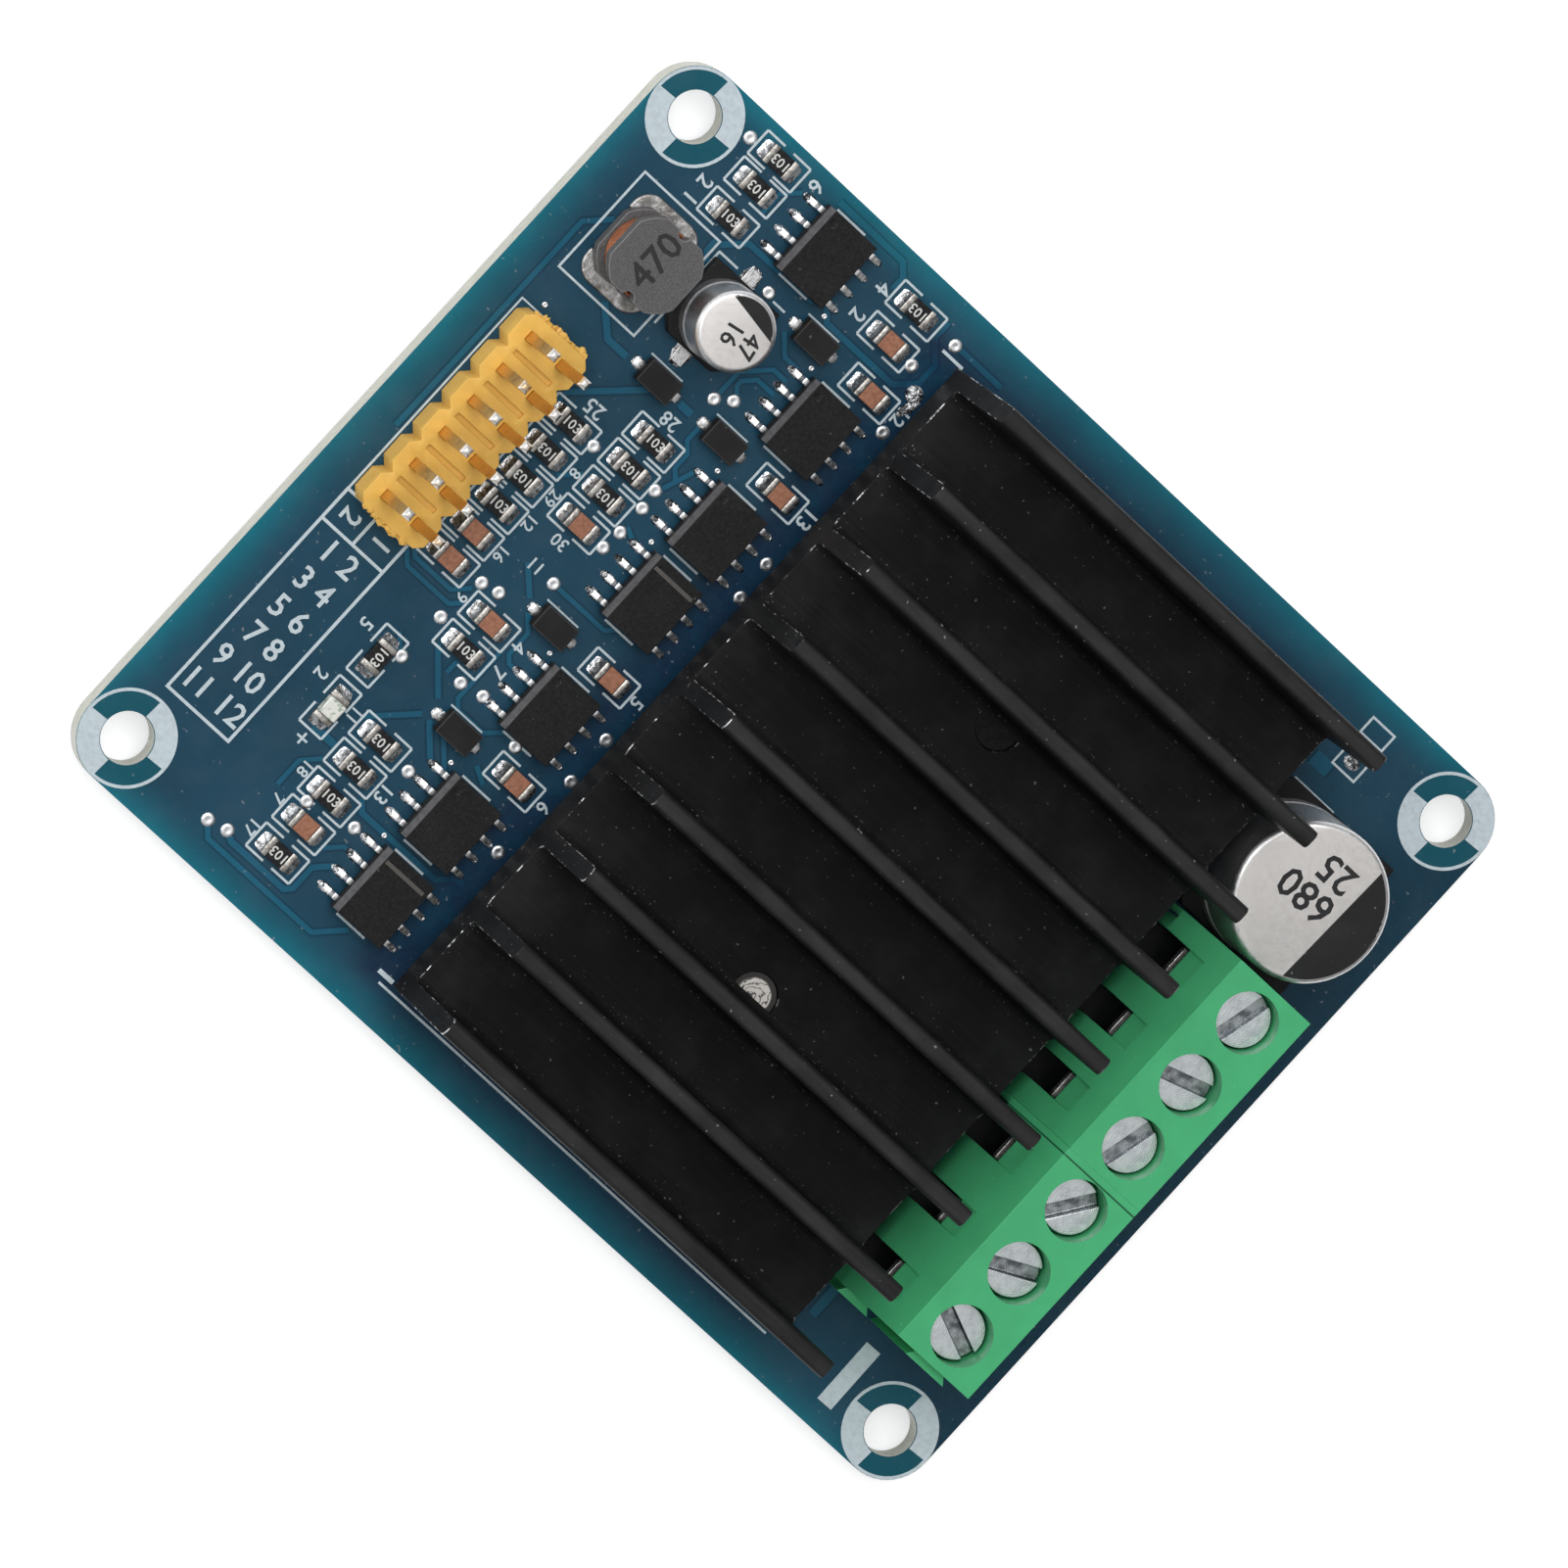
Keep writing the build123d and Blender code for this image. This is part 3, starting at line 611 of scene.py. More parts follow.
@made_once
def tin_plate():
    finish = Finish("tin_plate", metallic=1.0)
    # Darker in stretched streaks.
    darker_streaks = finish.span(finish.noise(0.12, 3.0, (1.0, 0.3, 1.0)), 0.46, 0.66, 0.0, 0.75)
    finish.base(finish.mix(darker_streaks, colours().tin, (0.24, 0.235, 0.23)))
    finish.worn(0.15, 0.22, 0.5)
    finish.pitted(0.1, 0.012, 0.5, 2.0)
    return finish


@made_once
def end_plate():
    """The dull warm tin of a chip part's ends."""
    finish = Finish("end_plate", metallic=1.0)
    finish.base(finish.mottled((0.52, 0.50, 0.47), (0.24, 0.22, 0.20), 0.25, 0.4, 0.65))
    finish.worn(0.15, 0.3, 0.55)
    finish.pitted(0.12, 0.015, 0.6, 2.0)
    return finish


@made_once
def crumpled_plate():
    """The inductor's dipped terminals, dull and creased."""
    finish = Finish("crumpled_plate", metallic=1.0)
    creased = finish.noise(0.8, 4.0, rough=0.6)
    finish.base(finish.mix(finish.span(creased, 0.4, 0.62), (0.55, 0.54, 0.53), (0.22, 0.21, 0.20)))
    finish.worn(0.2, 0.32, 0.6)
    finish.relief(creased, 0.12, 0.8)
    return finish


# Finishes of the heatsink
@made_once
def anodised_black():
    finish = Finish("anodised_black", specular=0.08)
    black = colours().anodised
    lines = finish.noise(0.16, 4.0, (0.015, 1.0, 1.0), 0.6)
    drawn = finish.mix(finish.span(lines, 0.35, 0.75), tone(black, 0.9), tone(black, 1.35))
    cut_face = finish.facing(0)
    sawn = finish.mottled(tone(black, 0.55), tone(black, 1.1), 0.1, 0.3, 0.7, 2.0, (1.0, 1.0, 0.05))
    shown = finish.mix(finish.span(cut_face, 0.9, 0.97), drawn, sawn)
    # Painted highlight: the rounded fin tips are a lighter grey, as light falls on them.
    tip = finish.span(finish.axis(2), HEATSINK_HIGH.z - 0.12 * MM, HEATSINK_HIGH.z - 0.02 * MM)
    lit_fin_tip = finish.mottled(grey(0.016), (0.031, 0.031, 0.032), 1.2, 0.3, 0.7, 4.0, (0.15, 1.0, 1.0))
    shown = finish.dust(finish.mix(tip, shown, lit_fin_tip), 0.9, (0.30, 0.30, 0.31))
    middle = (HEATSINK_LOW.y + HEATSINK_HIGH.y) / 2
    from_fin = finish.step("PINGPONG", finish.axis(1, (0, middle, 0)), HALF_FIN_PITCH)
    root = finish.between(from_fin, 0.7 * MM, 1.5 * MM, 0.15 * MM)
    grit = finish.span(finish.noise(0.2, 1.0), 0.70, 0.75, 0.0, 0.55)
    shown = finish.mix(finish.times(grit, root), shown, grey(0.24))
    on_edge = finish.times(finish.span(cut_face, 0.15, 0.25), finish.span(cut_face, 0.93, 0.97, 1.0, 0.0))
    worn = finish.span(finish.noise(0.9, 4.0, rough=0.7), 0.53, 0.59, 0.0, 0.8)
    near_end = finish.span(finish.axis(0), HEATSINK_LOW.x + 0.2 * MM, HEATSINK_LOW.x + 0.5 * MM, 1.0, 0.35)
    bare = finish.times(finish.times(on_edge, worn), near_end)
    finish.base(finish.mix(bare, shown, colours().aluminium))
    finish.give("Roughness", finish.span(lines, 0.3, 0.7, 0.36, 0.5))
    finish.give("Metallic", finish.times(bare, 0.9))
    finish.relief(lines, 0.006, 0.35)
    return finish


@made_once
def fixing_steel():
    """Turned screw ends, of which the far one is blackened."""
    finish = Finish("fixing_steel", metallic=1.0)
    plain = finish.mottled(colours().zinc, grey(0.25), 0.4, 0.4, 0.7)
    low, high = min(solids_of("heatsink_screws"), key=lambda corners: corners[0].y)
    cut_end = finish.span(finish.axis(2), *SCREW_END)
    reach = finish.radius((low + high) / 2)
    wander = finish.span(finish.noise(0.7, 4.0), 0.3, 0.7, 0.0, 0.55 * MM)
    rings = finish.step("PINGPONG", finish.plus(reach, wander), 0.16 * MM)
    turned = finish.times(cut_end, finish.span(rings, 0.10 * MM, 0.13 * MM, 0.0, 0.85))
    plain = finish.mix(cut_end, plain, (0.92, 0.88, 0.83))
    rim = finish.times(cut_end, finish.span(reach, 1.05 * MM, 1.15 * MM, 0.0, 0.94))
    plain = finish.mix(finish.most(turned, rim), plain, grey(0.02))
    black = finish.mix(finish.noise(0.3), grey(0.010), grey(0.030))
    finish.base(finish.mix(finish.span(finish.axis(1), -1.0 * MM, 1.0 * MM), plain, black))
    finish.worn(0.2, 0.25, 0.45)
    finish.pitted(0.15, 0.02, 0.5)
    return finish


@made_once
def silicone_pad():
    finish = Finish("silicone_pad", 0.8, specular=0.3)
    finish.base(finish.mix(finish.noise(0.5), (0.12, 0.13, 0.14), (0.22, 0.23, 0.24)))
    finish.relief(finish.cells(0.4), 0.02, 0.5)
    return finish


# Finishes of the mouldings
def moulding(name, base, roughness, grain, specular, shade, glow=0.0):
    """Moulded plastic: slightly uneven colour, fine grain and a few pale specks."""
    finish = Finish(name, specular=specular)
    uneven = finish.mottled(tone(base, shade), base, 2.5, 0.35, 0.65)
    finish.base(finish.dust(uneven, 0.35, [min(1.0, 0.3 + part) for part in base]))
    finish.worn(0.6, roughness - 0.07, roughness + 0.08)
    finish.pitted(grain, 0.012, 0.5)
    if glow:
        finish.give("Subsurface Weight", glow)
        finish.give("Subsurface Radius", (0.3, 1.0, 0.4))
        finish.give("Subsurface Scale", 0.6 * MM)
    return finish


@made_once
def green_moulding():
    """Green moulding with painted shade inside its wire windows and in the seam between its blocks, and a
    painted highlight on its rounded edges.
    """
    finish = moulding("green_moulding", colours().terminal, 0.38, 0.3, 0.2, 0.92, 0.05)
    low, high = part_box("terminal_housing_1")
    back = finish.axis(0, (low.x, 0, 0))
    height = finish.axis(2)
    # Painted shade: the inner walls of each wire window, below the slope and beside each screw, are near
    # black.
    slope = finish.plus(finish.times(back, WINDOW_SLOPE[0]), BOARD_TOP + WINDOW_SLOPE[1])
    under = finish.span(finish.step("SUBTRACT", slope, height), 0.25 * MM, 0.4 * MM)
    inside = finish.times(finish.between(back, -0.05 * MM, WINDOW_DEPTH, 0.03 * MM), under)
    inside = finish.times(inside, finish.between(height, *WINDOW_LEVELS, 0.03 * MM))
    beside = 0.0
    for pole in POLES:
        screw = top_centre(f"terminal_screw_{pole}")
        away = finish.step("ABSOLUTE", finish.axis(1, (0, screw[1], 0)))
        beside = finish.most(finish.span(away, 1.01 * MM, 1.04 * MM, 1.0, 0.0), beside)
    finish.cover(finish.times(inside, beside), (0.002, 0.003, 0.003))
    # Painted shade: a dark line in the gap where the two blocks meet.
    from_seam = finish.step("ABSOLUTE", finish.axis(1, (0, low.y, 0)))
    finish.cover(finish.span(from_seam, 0.03 * MM, 0.08 * MM, 0.9, 0.0), (0.006, 0.040, 0.020))
    # Painted highlight: the rounded edges are lighter.
    edge = finish.between(finish.facing(2), 0.55, 0.88, 0.03)
    finish.cover(finish.times(edge, 0.6), [min(1.0, 1.3 * part + 0.03) for part in colours().terminal])
    return finish


@made_once
def yellow_moulding():
    return moulding("yellow_moulding", colours().header, 0.42, 0.25, 0.25, 0.85, 0.05)


@made_once
def chip_moulding():
    finish = Finish("chip_moulding", specular=0.08)
    # Painted light: the sides are lighter than the top.
    side = finish.span(finish.facing(2), 0.75, 0.97, 1.0, 0.0)
    plain = finish.mottled(tone(colours().chip, 0.8), tone(colours().chip, 1.5), 0.2, 0.35, 0.7, 4.0)
    finish.base(finish.dust(finish.mix(side, plain, tone(colours().chip, 1.8)), 0.35))
    # Painted highlight: the bevel leaning towards -X is a lighter grey.
    cut = finish.between(finish.slant(0), -0.85, -0.55, 0.05)
    finish.cover(finish.times(cut, finish.span(finish.noise(0.3), 0.2, 0.6, 0.5, 1.0)), (0.10, 0.10, 0.105))
    finish.worn(0.1, 0.42, 0.6)
    finish.pitted(0.07, 0.012, 0.6)
    return finish


@made_once
def diode_moulding():
    finish = moulding("diode_moulding", (0.020, 0.019, 0.019), 0.45, 0.12, 0.1, 0.7)
    # Painted highlight: the rounded edges are lighter.
    edge = finish.between(finish.facing(2), 0.25, 0.95, 0.03)
    finish.cover(finish.times(edge, 0.6), (0.075, 0.070, 0.066))
    return finish


@made_once
def black_base():
    return moulding("black_base", (0.014, 0.014, 0.015), 0.5, 0.2, 0.12, 0.7)


# Finishes of the small parts
@made_once
def resistor_glaze():
    finish = Finish("resistor_glaze", specular=0.15)
    finish.base(finish.mottled((0.010, 0.010, 0.011), (0.022, 0.022, 0.024), 0.3, 0.4, 0.7))
    finish.worn(0.15, 0.2, 0.4)
    finish.pitted(0.2, 0.01, 0.5)
    return finish


@made_once
def capacitor_ceramic():
    finish = Finish("capacitor_ceramic", 0.5, specular=0.2)
    brown = colours().ceramic
    finish.base(finish.mottled(tone(brown, 0.78), tone(brown, 1.15), 0.25, 0.35, 0.65))
    finish.pitted(0.06, 0.01, 0.6)
    return finish


@made_once
def indicator_resin():
    finish = Finish("indicator_resin", 0.25)
    finish.base(finish.mottled((0.80, 0.80, 0.75), (0.36, 0.46, 0.36), 0.4, 0.5, 0.62, 2.0))
    finish.give("Transmission Weight", 0.15)
    finish.pitted(0.3, 0.02, 0.4)
    return finish


@made_once
def can_finish(name, node, towards, chord, rim):
    """Satin aluminium with a black printed segment on the top, beyond a chord and up to a rim."""
    centre = top_centre(node)
    low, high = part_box(node)
    inner = (high.x - low.x) / 2 - rim
    finish = Finish(name, metallic=1.0, specular=0.08)
    metal = finish.mottled(tone(colours().aluminium, 0.82), colours().aluminium, 0.14, 0.3, 0.7)
    printed = finish.times(finish.span(finish.facing(2), 0.97, 0.99),
                           finish.span(finish.axis(2, centre), -0.05 * MM, -0.01 * MM))
    metal = finish.mix(printed, metal, finish.mix(0.75, metal, (0.72, 0.69, 0.665)))
    offset = finish.plus(finish.times(finish.axis(0, centre), towards[0]),
                         finish.times(finish.axis(1, centre), towards[1]))
    inked = finish.times(printed, finish.span(offset, chord, chord + 0.05 * MM))
    inside = finish.span(finish.radius(centre), inner - 0.03 * MM, inner + 0.03 * MM, 1.0, 0.0)
    inked = finish.times(inked, inside)
    finish.base(finish.mix(inked, metal, finish.dust((0.022, 0.022, 0.023), 0.8)))
    finish.give("Metallic", finish.span(inked, 0.0, 1.0, 1.0, 0.0))
    finish.worn(0.3, 0.34, 0.5)
    finish.pitted(0.12, 0.008, 0.5, 2.0)
    return finish


@made_once
def ferrite():
    finish = Finish("ferrite", specular=0.15)
    grain = finish.noise(0.08, 4.0, rough=0.7)
    finish.base(finish.mix(finish.span(grain, 0.35, 0.7), tone(colours().ferrite, 0.7),
                           tone(colours().ferrite, 1.8)))
    # Painted highlight: the rounded edges of the flanges are a lighter grey.
    edge = finish.between(finish.facing(2), 0.3, 0.93, 0.04)
    finish.cover(finish.times(edge, 0.7), (0.24, 0.24, 0.25))
    finish.give("Roughness", finish.span(grain, 0.3, 0.7, 0.35, 0.6))
    finish.relief(grain, 0.02, 0.7)
    return finish


@made_once
def copper_wire():
    finish = Finish("copper_wire", 0.25, metallic=0.85)
    finish.give("Coat Weight", 0.5)
    finish.give("Coat Roughness", 0.15)
    finish.base(finish.mix(finish.noise(0.5), tone(colours().copper, 0.7), colours().copper))
    finish.pitted(0.1, 0.006, 0.4)
    return finish


@made_once
def zinc_screw(index):
    """Zinc plate turned on the head, scratched by a driver, round one screw's axis, with painted shade in its
    slot and along the slot's rims.
    """
    centre = top_centre(f"terminal_screw_{index}")
    finish = Finish(f"zinc_screw_{index}", metallic=1.0)
    turned = finish.rings(centre, 0.32)
    scratches = finish.noise(0.1, 3.0, (1.0, 0.12, 1.0), 0.6, centre)
    stained = finish.span(finish.noise(0.8, 4.0, centre=centre), 0.42, 0.7, 0.0, 0.55)
    plate = finish.mix(stained, colours().zinc, (0.36, 0.40, 0.43))
    plate = finish.mix(finish.span(scratches, 0.60, 0.66, 0.0, 0.6), plate, (0.9, 0.92, 0.93))
    # Painted shade: below the head's top the walls are dark and the slot floor unevenly darker, and the
    # slot's rounded rims are dark too.
    deep = finish.span(finish.axis(2, centre), -0.20 * MM, -0.06 * MM, 1.0, 0.0)
    wall = finish.span(finish.facing(2), 0.4, 0.7, 0.95, 0.45)
    uneven_slot_shade = finish.span(finish.noise(0.5, centre=centre), 0.35, 0.65, 0.4, 0.85)
    dark = finish.times(deep, finish.most(wall, uneven_slot_shade))
    slot_rim_shade = finish.times(finish.span(finish.facing(2), 0.80, 0.96, 0.85, 0.0),
                             finish.span(finish.radius(centre), 1.5 * MM, 1.6 * MM, 1.0, 0.0))
    finish.base(finish.mix(finish.most(dark, slot_rim_shade), plate, (0.05, 0.06, 0.07)))
    finish.give("Roughness", finish.span(finish.times(turned, scratches), 0.1, 0.6, 0.24, 0.46))
    finish.relief(finish.plus(finish.times(turned, 0.35), scratches), 0.012, 0.6)
    return finish


@made_once
def nickel():
    finish = Finish("nickel", metallic=1.0)
    finish.base(finish.mottled((0.86, 0.85, 0.82), (0.56, 0.55, 0.52), 0.6, 0.4, 0.7))
    finish.worn(0.2, 0.22, 0.42)
    finish.pitted(0.2, 0.01, 0.5)
    return finish


@made_once
def gold_pin():
    finish = Finish("gold_pin", metallic=1.0)
    top = top_centre("header_pins")[2]
    tip = finish.span(finish.axis(2), top - 0.35 * MM, top - 0.15 * MM)
    worn = finish.times(tip, finish.span(finish.noise(1.1, 1.0), 0.3, 0.45))
    gold = finish.mix(finish.noise(0.5), tone(colours().gold, 0.75), colours().gold)
    finish.base(finish.mix(worn, gold, (0.78, 0.76, 0.72)))
    finish.worn(0.5, 0.25, 0.4)
    finish.pitted(0.4, 0.006, 0.4, 2.0, (1.0, 1.0, 0.1))
    return finish


@made_once
def value_ink(name, base):
    """Print on a part."""
    finish = Finish(name, 0.6, specular=0.3)
    finish.base(finish.mix(finish.span(finish.noise(0.12), 0.35, 0.65, 0.0, 0.35), base, tone(base, 0.6)))
    finish.pitted(0.06, 0.004, 0.4)
    return finish


# Strips, dots and numbers on the board
def strip(points, width, closed=False):
    """A flat run: its points in mm on the board, and its width."""
    return (points, width, closed)


def line(left, low, right, high, width):
    """A straight strip between two points."""
    return strip([(left, low), (right, high)], width)


def frame_box(left, low, right, high, width):
    """Four strips round a rectangle."""
    half = width / 2
    return [line(left - half, y, right + half, y, width) for y in (low, high)] + \
           [line(x, low - half, x, high + half, width) for x in (left, right)]


def arc(x, y, radius, start, end, count=14):
    """Points along an arc, in degrees."""
    steps = [math.radians(start + (end - start) * step / count) for step in range(count + 1)]
    return [(x + radius * math.cos(a), y + radius * math.sin(a)) for a in steps]


def lay_strips(name, runs, bottom, top):
    """Flat strips of one height along their runs, as one mesh."""
    parts = []
    for width in sorted({run[1] for run in runs}):
        bpy.ops.curve.primitive_bezier_circle_add(radius=1.0)
        outline = bpy.context.object
        outline.data.splines.clear()
        edge = outline.data.splines.new("POLY")
        edge.points.add(3)
        half = width * MM / 2
        rise = (top - bottom) / 2
        corners = [(-half, -rise), (half, -rise), (half, rise), (-half, rise)]
        for point, (x, y) in zip(edge.points, corners):
            point.co = (x, y, 0.0, 1.0)
        edge.use_cyclic_u = True
        curve = bpy.data.curves.new(name, "CURVE")
        curve.dimensions = "3D"
        curve.twist_mode = "Z_UP"
        for index, (points, run_width, closed) in enumerate(runs):
            if run_width != width:
                continue
            level = (bottom + top) / 2 - (index % 8) * LAYER_STEP
            spline = curve.splines.new("POLY")
            spline.points.add(len(points) - 1)
            for point, (x, y) in zip(spline.points, points):
                point.co = (x * MM, y * MM, level, 1.0)
            spline.use_cyclic_u = closed
        curve.bevel_mode = "OBJECT"
        curve.bevel_object = outline
        curve.use_fill_caps = True
        part = bpy.data.objects.new(name, curve)
        bpy.context.collection.objects.link(part)
        alone(part)
        bpy.ops.object.convert(target="MESH")
        part = bpy.context.object
        bpy.data.objects.remove(outline)
        parts.append(part)
    made = join(parts, name)
    turn_faces_out(made)
    bpy.ops.object.shade_flat()
    return made


def number(text, x, y, level, height, turn, thick=THICK_PRINT):
    """A plain number as a thin mesh, centred at x, y in mm on a level in metres."""
    bpy.ops.object.text_add(location=(0.0, 0.0, 0.0))
    mark = bpy.context.object
    mark.data.body = text
    mark.data.align_x = "CENTER"
    mark.data.align_y = "CENTER"
    mark.data.size = height * MM / 0.7
    mark.data.resolution_u = 2
    mark.data.extrude = thick * MM
    mark.data.offset = 0.02 * height * MM
    alone(mark)
    bpy.ops.object.convert(target="MESH")
    mark = bpy.context.object
    mark.rotation_euler = (0.0, 0.0, math.radians(turn))
    mark.location = (x * MM, y * MM, level)
    return mark


# Covered tracks: their points in mm on the board, then their width
TRACKS = [
    ([(-31.9, 17.3), (-33.3, 15.9), (-33.3, -0.5)], 0.35),
    ([(-28.9, 13.3), (-27.2, 11.8), (-25.6, 11.8)], 0.45),
    ([(-22.6, 11.8), (-26.9, 7.8), (-26.9, 6.6)], 0.4),
    ([(-26.0, 20.5), (-24.7, 21.7), (-19.4, 21.7), (-19.4, 22.3)], 0.4),
    ([(-18.7, 22.3), (-17.8, 21.4), (-12.2, 21.4), (-11.0, 22.5), (-11.0, 24.0), (-12.2, 25.2),
      (-12.2, 26.4)], 0.4),
    ([(-22.3, 27.2), (-16.9, 27.2), (-16.2, 26.5), (-16.2, 25.6)], 0.4),
    ([(-19.8, 14.0), (-19.8, 15.7), (-18.3, 17.2), (-17.2, 17.2)], 0.3),
    ([(-18.9, 14.6), (-19.3, 15.0), (-19.3, 15.4), (-18.6, 16.1), (-17.2, 16.1)], 0.3),
    ([(-19.4, 19.3), (-18.3, 18.2), (-17.2, 18.2)], 0.3),
    ([(-19.3, 11.6), (-19.3, 10.6), (-18.7, 10.0), (-18.7, 8.9), (-18.1, 8.3)], 0.3),
    ([(-20.2, 11.9), (-21.2, 11.9)], 0.5),
    ([(-25.9, 19.2), (-26.4, 19.7), (-26.4, 20.6)], 0.35),
    ([(-24.4, 26.1), (-25.4, 25.1), (-25.4, 23.6)], 0.3),
    ([(-23.8, 3.8), (-22.7, 4.9)], 0.3),
    ([(-17.6, 4.0), (-18.4, 4.4)], 0.3),
    ([(-17.6, 9.6), (-18.4, 7.5)], 0.3),
    ([(-19.5, -1.1), (-15.1, -1.1), (-14.0, 0.0)], 0.3),
    ([(-21.5, -1.2), (-19.9, -2.7)], 0.35),
    ([(-19.4, -3.4), (-18.5, -4.3), (-18.5, -6.0), (-18.1, -6.4), (-17.4, -6.4)], 0.3),
    ([(-27.6, -4.9), (-26.9, -5.5), (-23.9, -5.5), (-23.0, -4.6)], 0.3),
    ([(-28.0, -5.1), (-26.9, -6.2), (-23.4, -6.2), (-22.6, -5.4)], 0.3),
    ([(-22.2, -8.4), (-19.9, -10.8)], 0.35),
    ([(-22.6, -14.6), (-20.0, -12.1)], 0.35),
    ([(-19.4, -12.1), (-17.6, -13.9)], 0.35),
    ([(-18.3, -12.0), (-16.3, -14.0), (-15.6, -14.0)], 0.3),
    ([(-19.0, -6.3), (-19.0, -10.0), (-18.5, -10.5), (-16.4, -10.5), (-15.4, -9.6)], 0.3),
    ([(-15.3, -12.2), (-14.2, -12.8)], 0.3),
    ([(-19.2, -18.3), (-18.6, -18.9), (-12.4, -18.9), (-11.4, -18.0), (-10.8, -18.0)], 0.4),
    ([(-24.5, -17.0), (-23.6, -17.0), (-22.6, -17.0)], 0.5),
    ([(-22.7, -18.1), (-23.7, -19.1), (-23.7, -21.0)], 0.3),
    ([(-17.5, -21.1), (-18.0, -21.1), (-18.9, -22.0)], 0.3),
    ([(-16.6, -22.4), (-17.7, -22.4), (-18.6, -23.3), (-18.6, -25.0), (-19.0, -25.4), (-23.4, -25.4),
      (-24.0, -25.1)], 0.4),
    ([(-25.4, -25.4), (-24.6, -26.2), (-15.9, -26.2), (-14.3, -24.6)], 0.35),
    ([(-24.5, -9.4), (-23.6, -10.3)], 0.3),
    ([(-11.0, 25.7), (-7.0, 25.7)], 0.35),
    ([(-20.6, -9.3), (-20.6, -8.4)], 0.3),
    ([(23.8, -20.7), (23.8, -23.0)], 0.65),
    ([(24.1, 21.9), (24.1, 22.9)], 1.4),
]

# Filled vias, in mm on the board
VIAS = [(-29.1, 26.35), (-10.9, 25.65), (-12.1, 23.0), (-21.75, 20.35), (-18.8, 14.2), (-19.8, 13.5),
        (-10.6, 18.9), (-23.35, 6.55), (-18.65, 7.1), (-18.5, 5.8), (-18.5, 3.85), (-18.65, 2.5),
        (-19.4, -1.1), (-22.75, -3.95), (-21.55, -3.7), (-23.2, -7.1), (-19.5, -9.2), (-17.9, -8.9),
        (-23.35, -10.4), (-18.2, -15.2), (-18.3, -19.85), (-21.6, -20.6), (-25.4, -25.35), (-24.05, -25.05),
        (-10.4, 8.4), (-10.2, 5.85), (-10.4, -5.85), (-10.25, -9.1), (-10.65, -15.15), (-14.3, -9.8)]
SMALL_VIAS = [(-31.5, 10.75), (-18.2, 21.6), (-16.6, 18.8), (-16.6, 10.5), (-16.65, 4.7), (-16.65, -4.3),
              (-16.6, -13.1), (-16.6, -19.0), (-24.7, -1.8), (34.0, -9.8)]


class MOTORBOARD_OT_lay_tracks(bpy.types.Operator):
    """Lay the covered copper tracks on the board"""

    bl_idname = "motor_board.lay_tracks"
    bl_label = "Lay Tracks"

    def execute(self, context):
        height = sizes().track_height
        for name, wider, rise, finish in (("track_gaps", 0.26, 0.4 * height, bare_gap()),
                                          ("tracks", 0.0, height, covered_copper())):
            runs = [strip(points, width + wider) for points, width in TRACKS]
            carry(lay_strips(name, runs, BOARD_TOP - SUNK, BOARD_TOP + rise), finish)
        return {"FINISHED"}


def solder_drop(name, ring_count=8, squareness=0.0):
    """The upper half of a ball, one metre in radius, with a flat foot."""
    bpy.ops.mesh.primitive_uv_sphere_add(segments=12, ring_count=ring_count, radius=1.0)
    drop = bpy.context.object
    drop.name = name
    with editing(drop):
        bpy.ops.mesh.bisect(plane_co=(0, 0, -0.05), plane_no=(0, 0, 1), clear_inner=True, use_fill=True)
    if squareness:
        apply_modifier(drop, "CAST", cast_type="CUBOID", factor=squareness, use_z=False)
    smooth(drop, 60.0)
    return drop


# How a solder ramp goes on: length, narrowing and lowering of each step
RAMP_STEPS = [(0.12, 1.0, 0.72), (0.16, 1.0, 0.66), (0.2, 0.98, 0.6), (0.22, 0.95, 0.52), (0.2, 0.9, 0.45),
              (0.1, 0.8, 0.3)]


def solder_ramp(name):
    """A hollow-cheeked ramp: one metre long, two wide and one high at the part's end."""
    bpy.ops.mesh.primitive_plane_add(size=1.0, location=(0.0, 0.0, 0.5), rotation=(0.0, QUARTER_TURN, 0.0))
    ramp = bpy.context.object
    ramp.name = name
    settle(ramp)
    with editing(ramp):
        bpy.ops.transform.resize(value=(1.0, 2.0, 1.0), center_override=(0.0, 0.0, 0.0))
        for reach, narrow, low in RAMP_STEPS:
            bpy.ops.mesh.extrude_region_move(TRANSFORM_OT_translate={"value": (reach, 0.0, 0.0)})
            bpy.ops.transform.resize(value=(1.0, narrow, low), center_override=(0.0, 0.0, 0.0))
    turn_faces_out(ramp)
    smooth(ramp, 60.0)
    return ramp


class MOTORBOARD_OT_fill_vias(bpy.types.Operator):
    """Fill the vias with solder on both faces of the board"""

    bl_idname = "motor_board.fill_vias"
    bl_label = "Fill Vias"

    def execute(self, context):
        drop = solder_drop("via_drop", 10)
        with editing(drop):
            bpy.ops.mesh.select_mode(type="VERT")
            bpy.ops.mesh.select_all(action="DESELECT")
        for vertex in drop.data.vertices:
            vertex.select = vertex.co.z > 0.0 and math.hypot(vertex.co.x, vertex.co.y) < 0.45
        bpy.ops.object.mode_set(mode="EDIT")
        bpy.ops.transform.translate(value=(0, 0, -0.5))
        bpy.ops.object.mode_set(mode="OBJECT")
        radius = sizes().via_radius
        places = []
        for x, y in VIAS:
            for level, side in ((BOARD_TOP, 1), (0.0, -1)):
                places.append((x * MM, y * MM, level, 0.0, (radius, radius, side * VIA_RISE)))
        for x, y in SMALL_VIAS:
            places.append((x * MM, y * MM, BOARD_TOP, 0.0, SMALL_VIA))
        vias = repeat(drop, places, "vias")
        turn_faces_out(vias)
        carry(vias, via_solder())
        return {"FINISHED"}


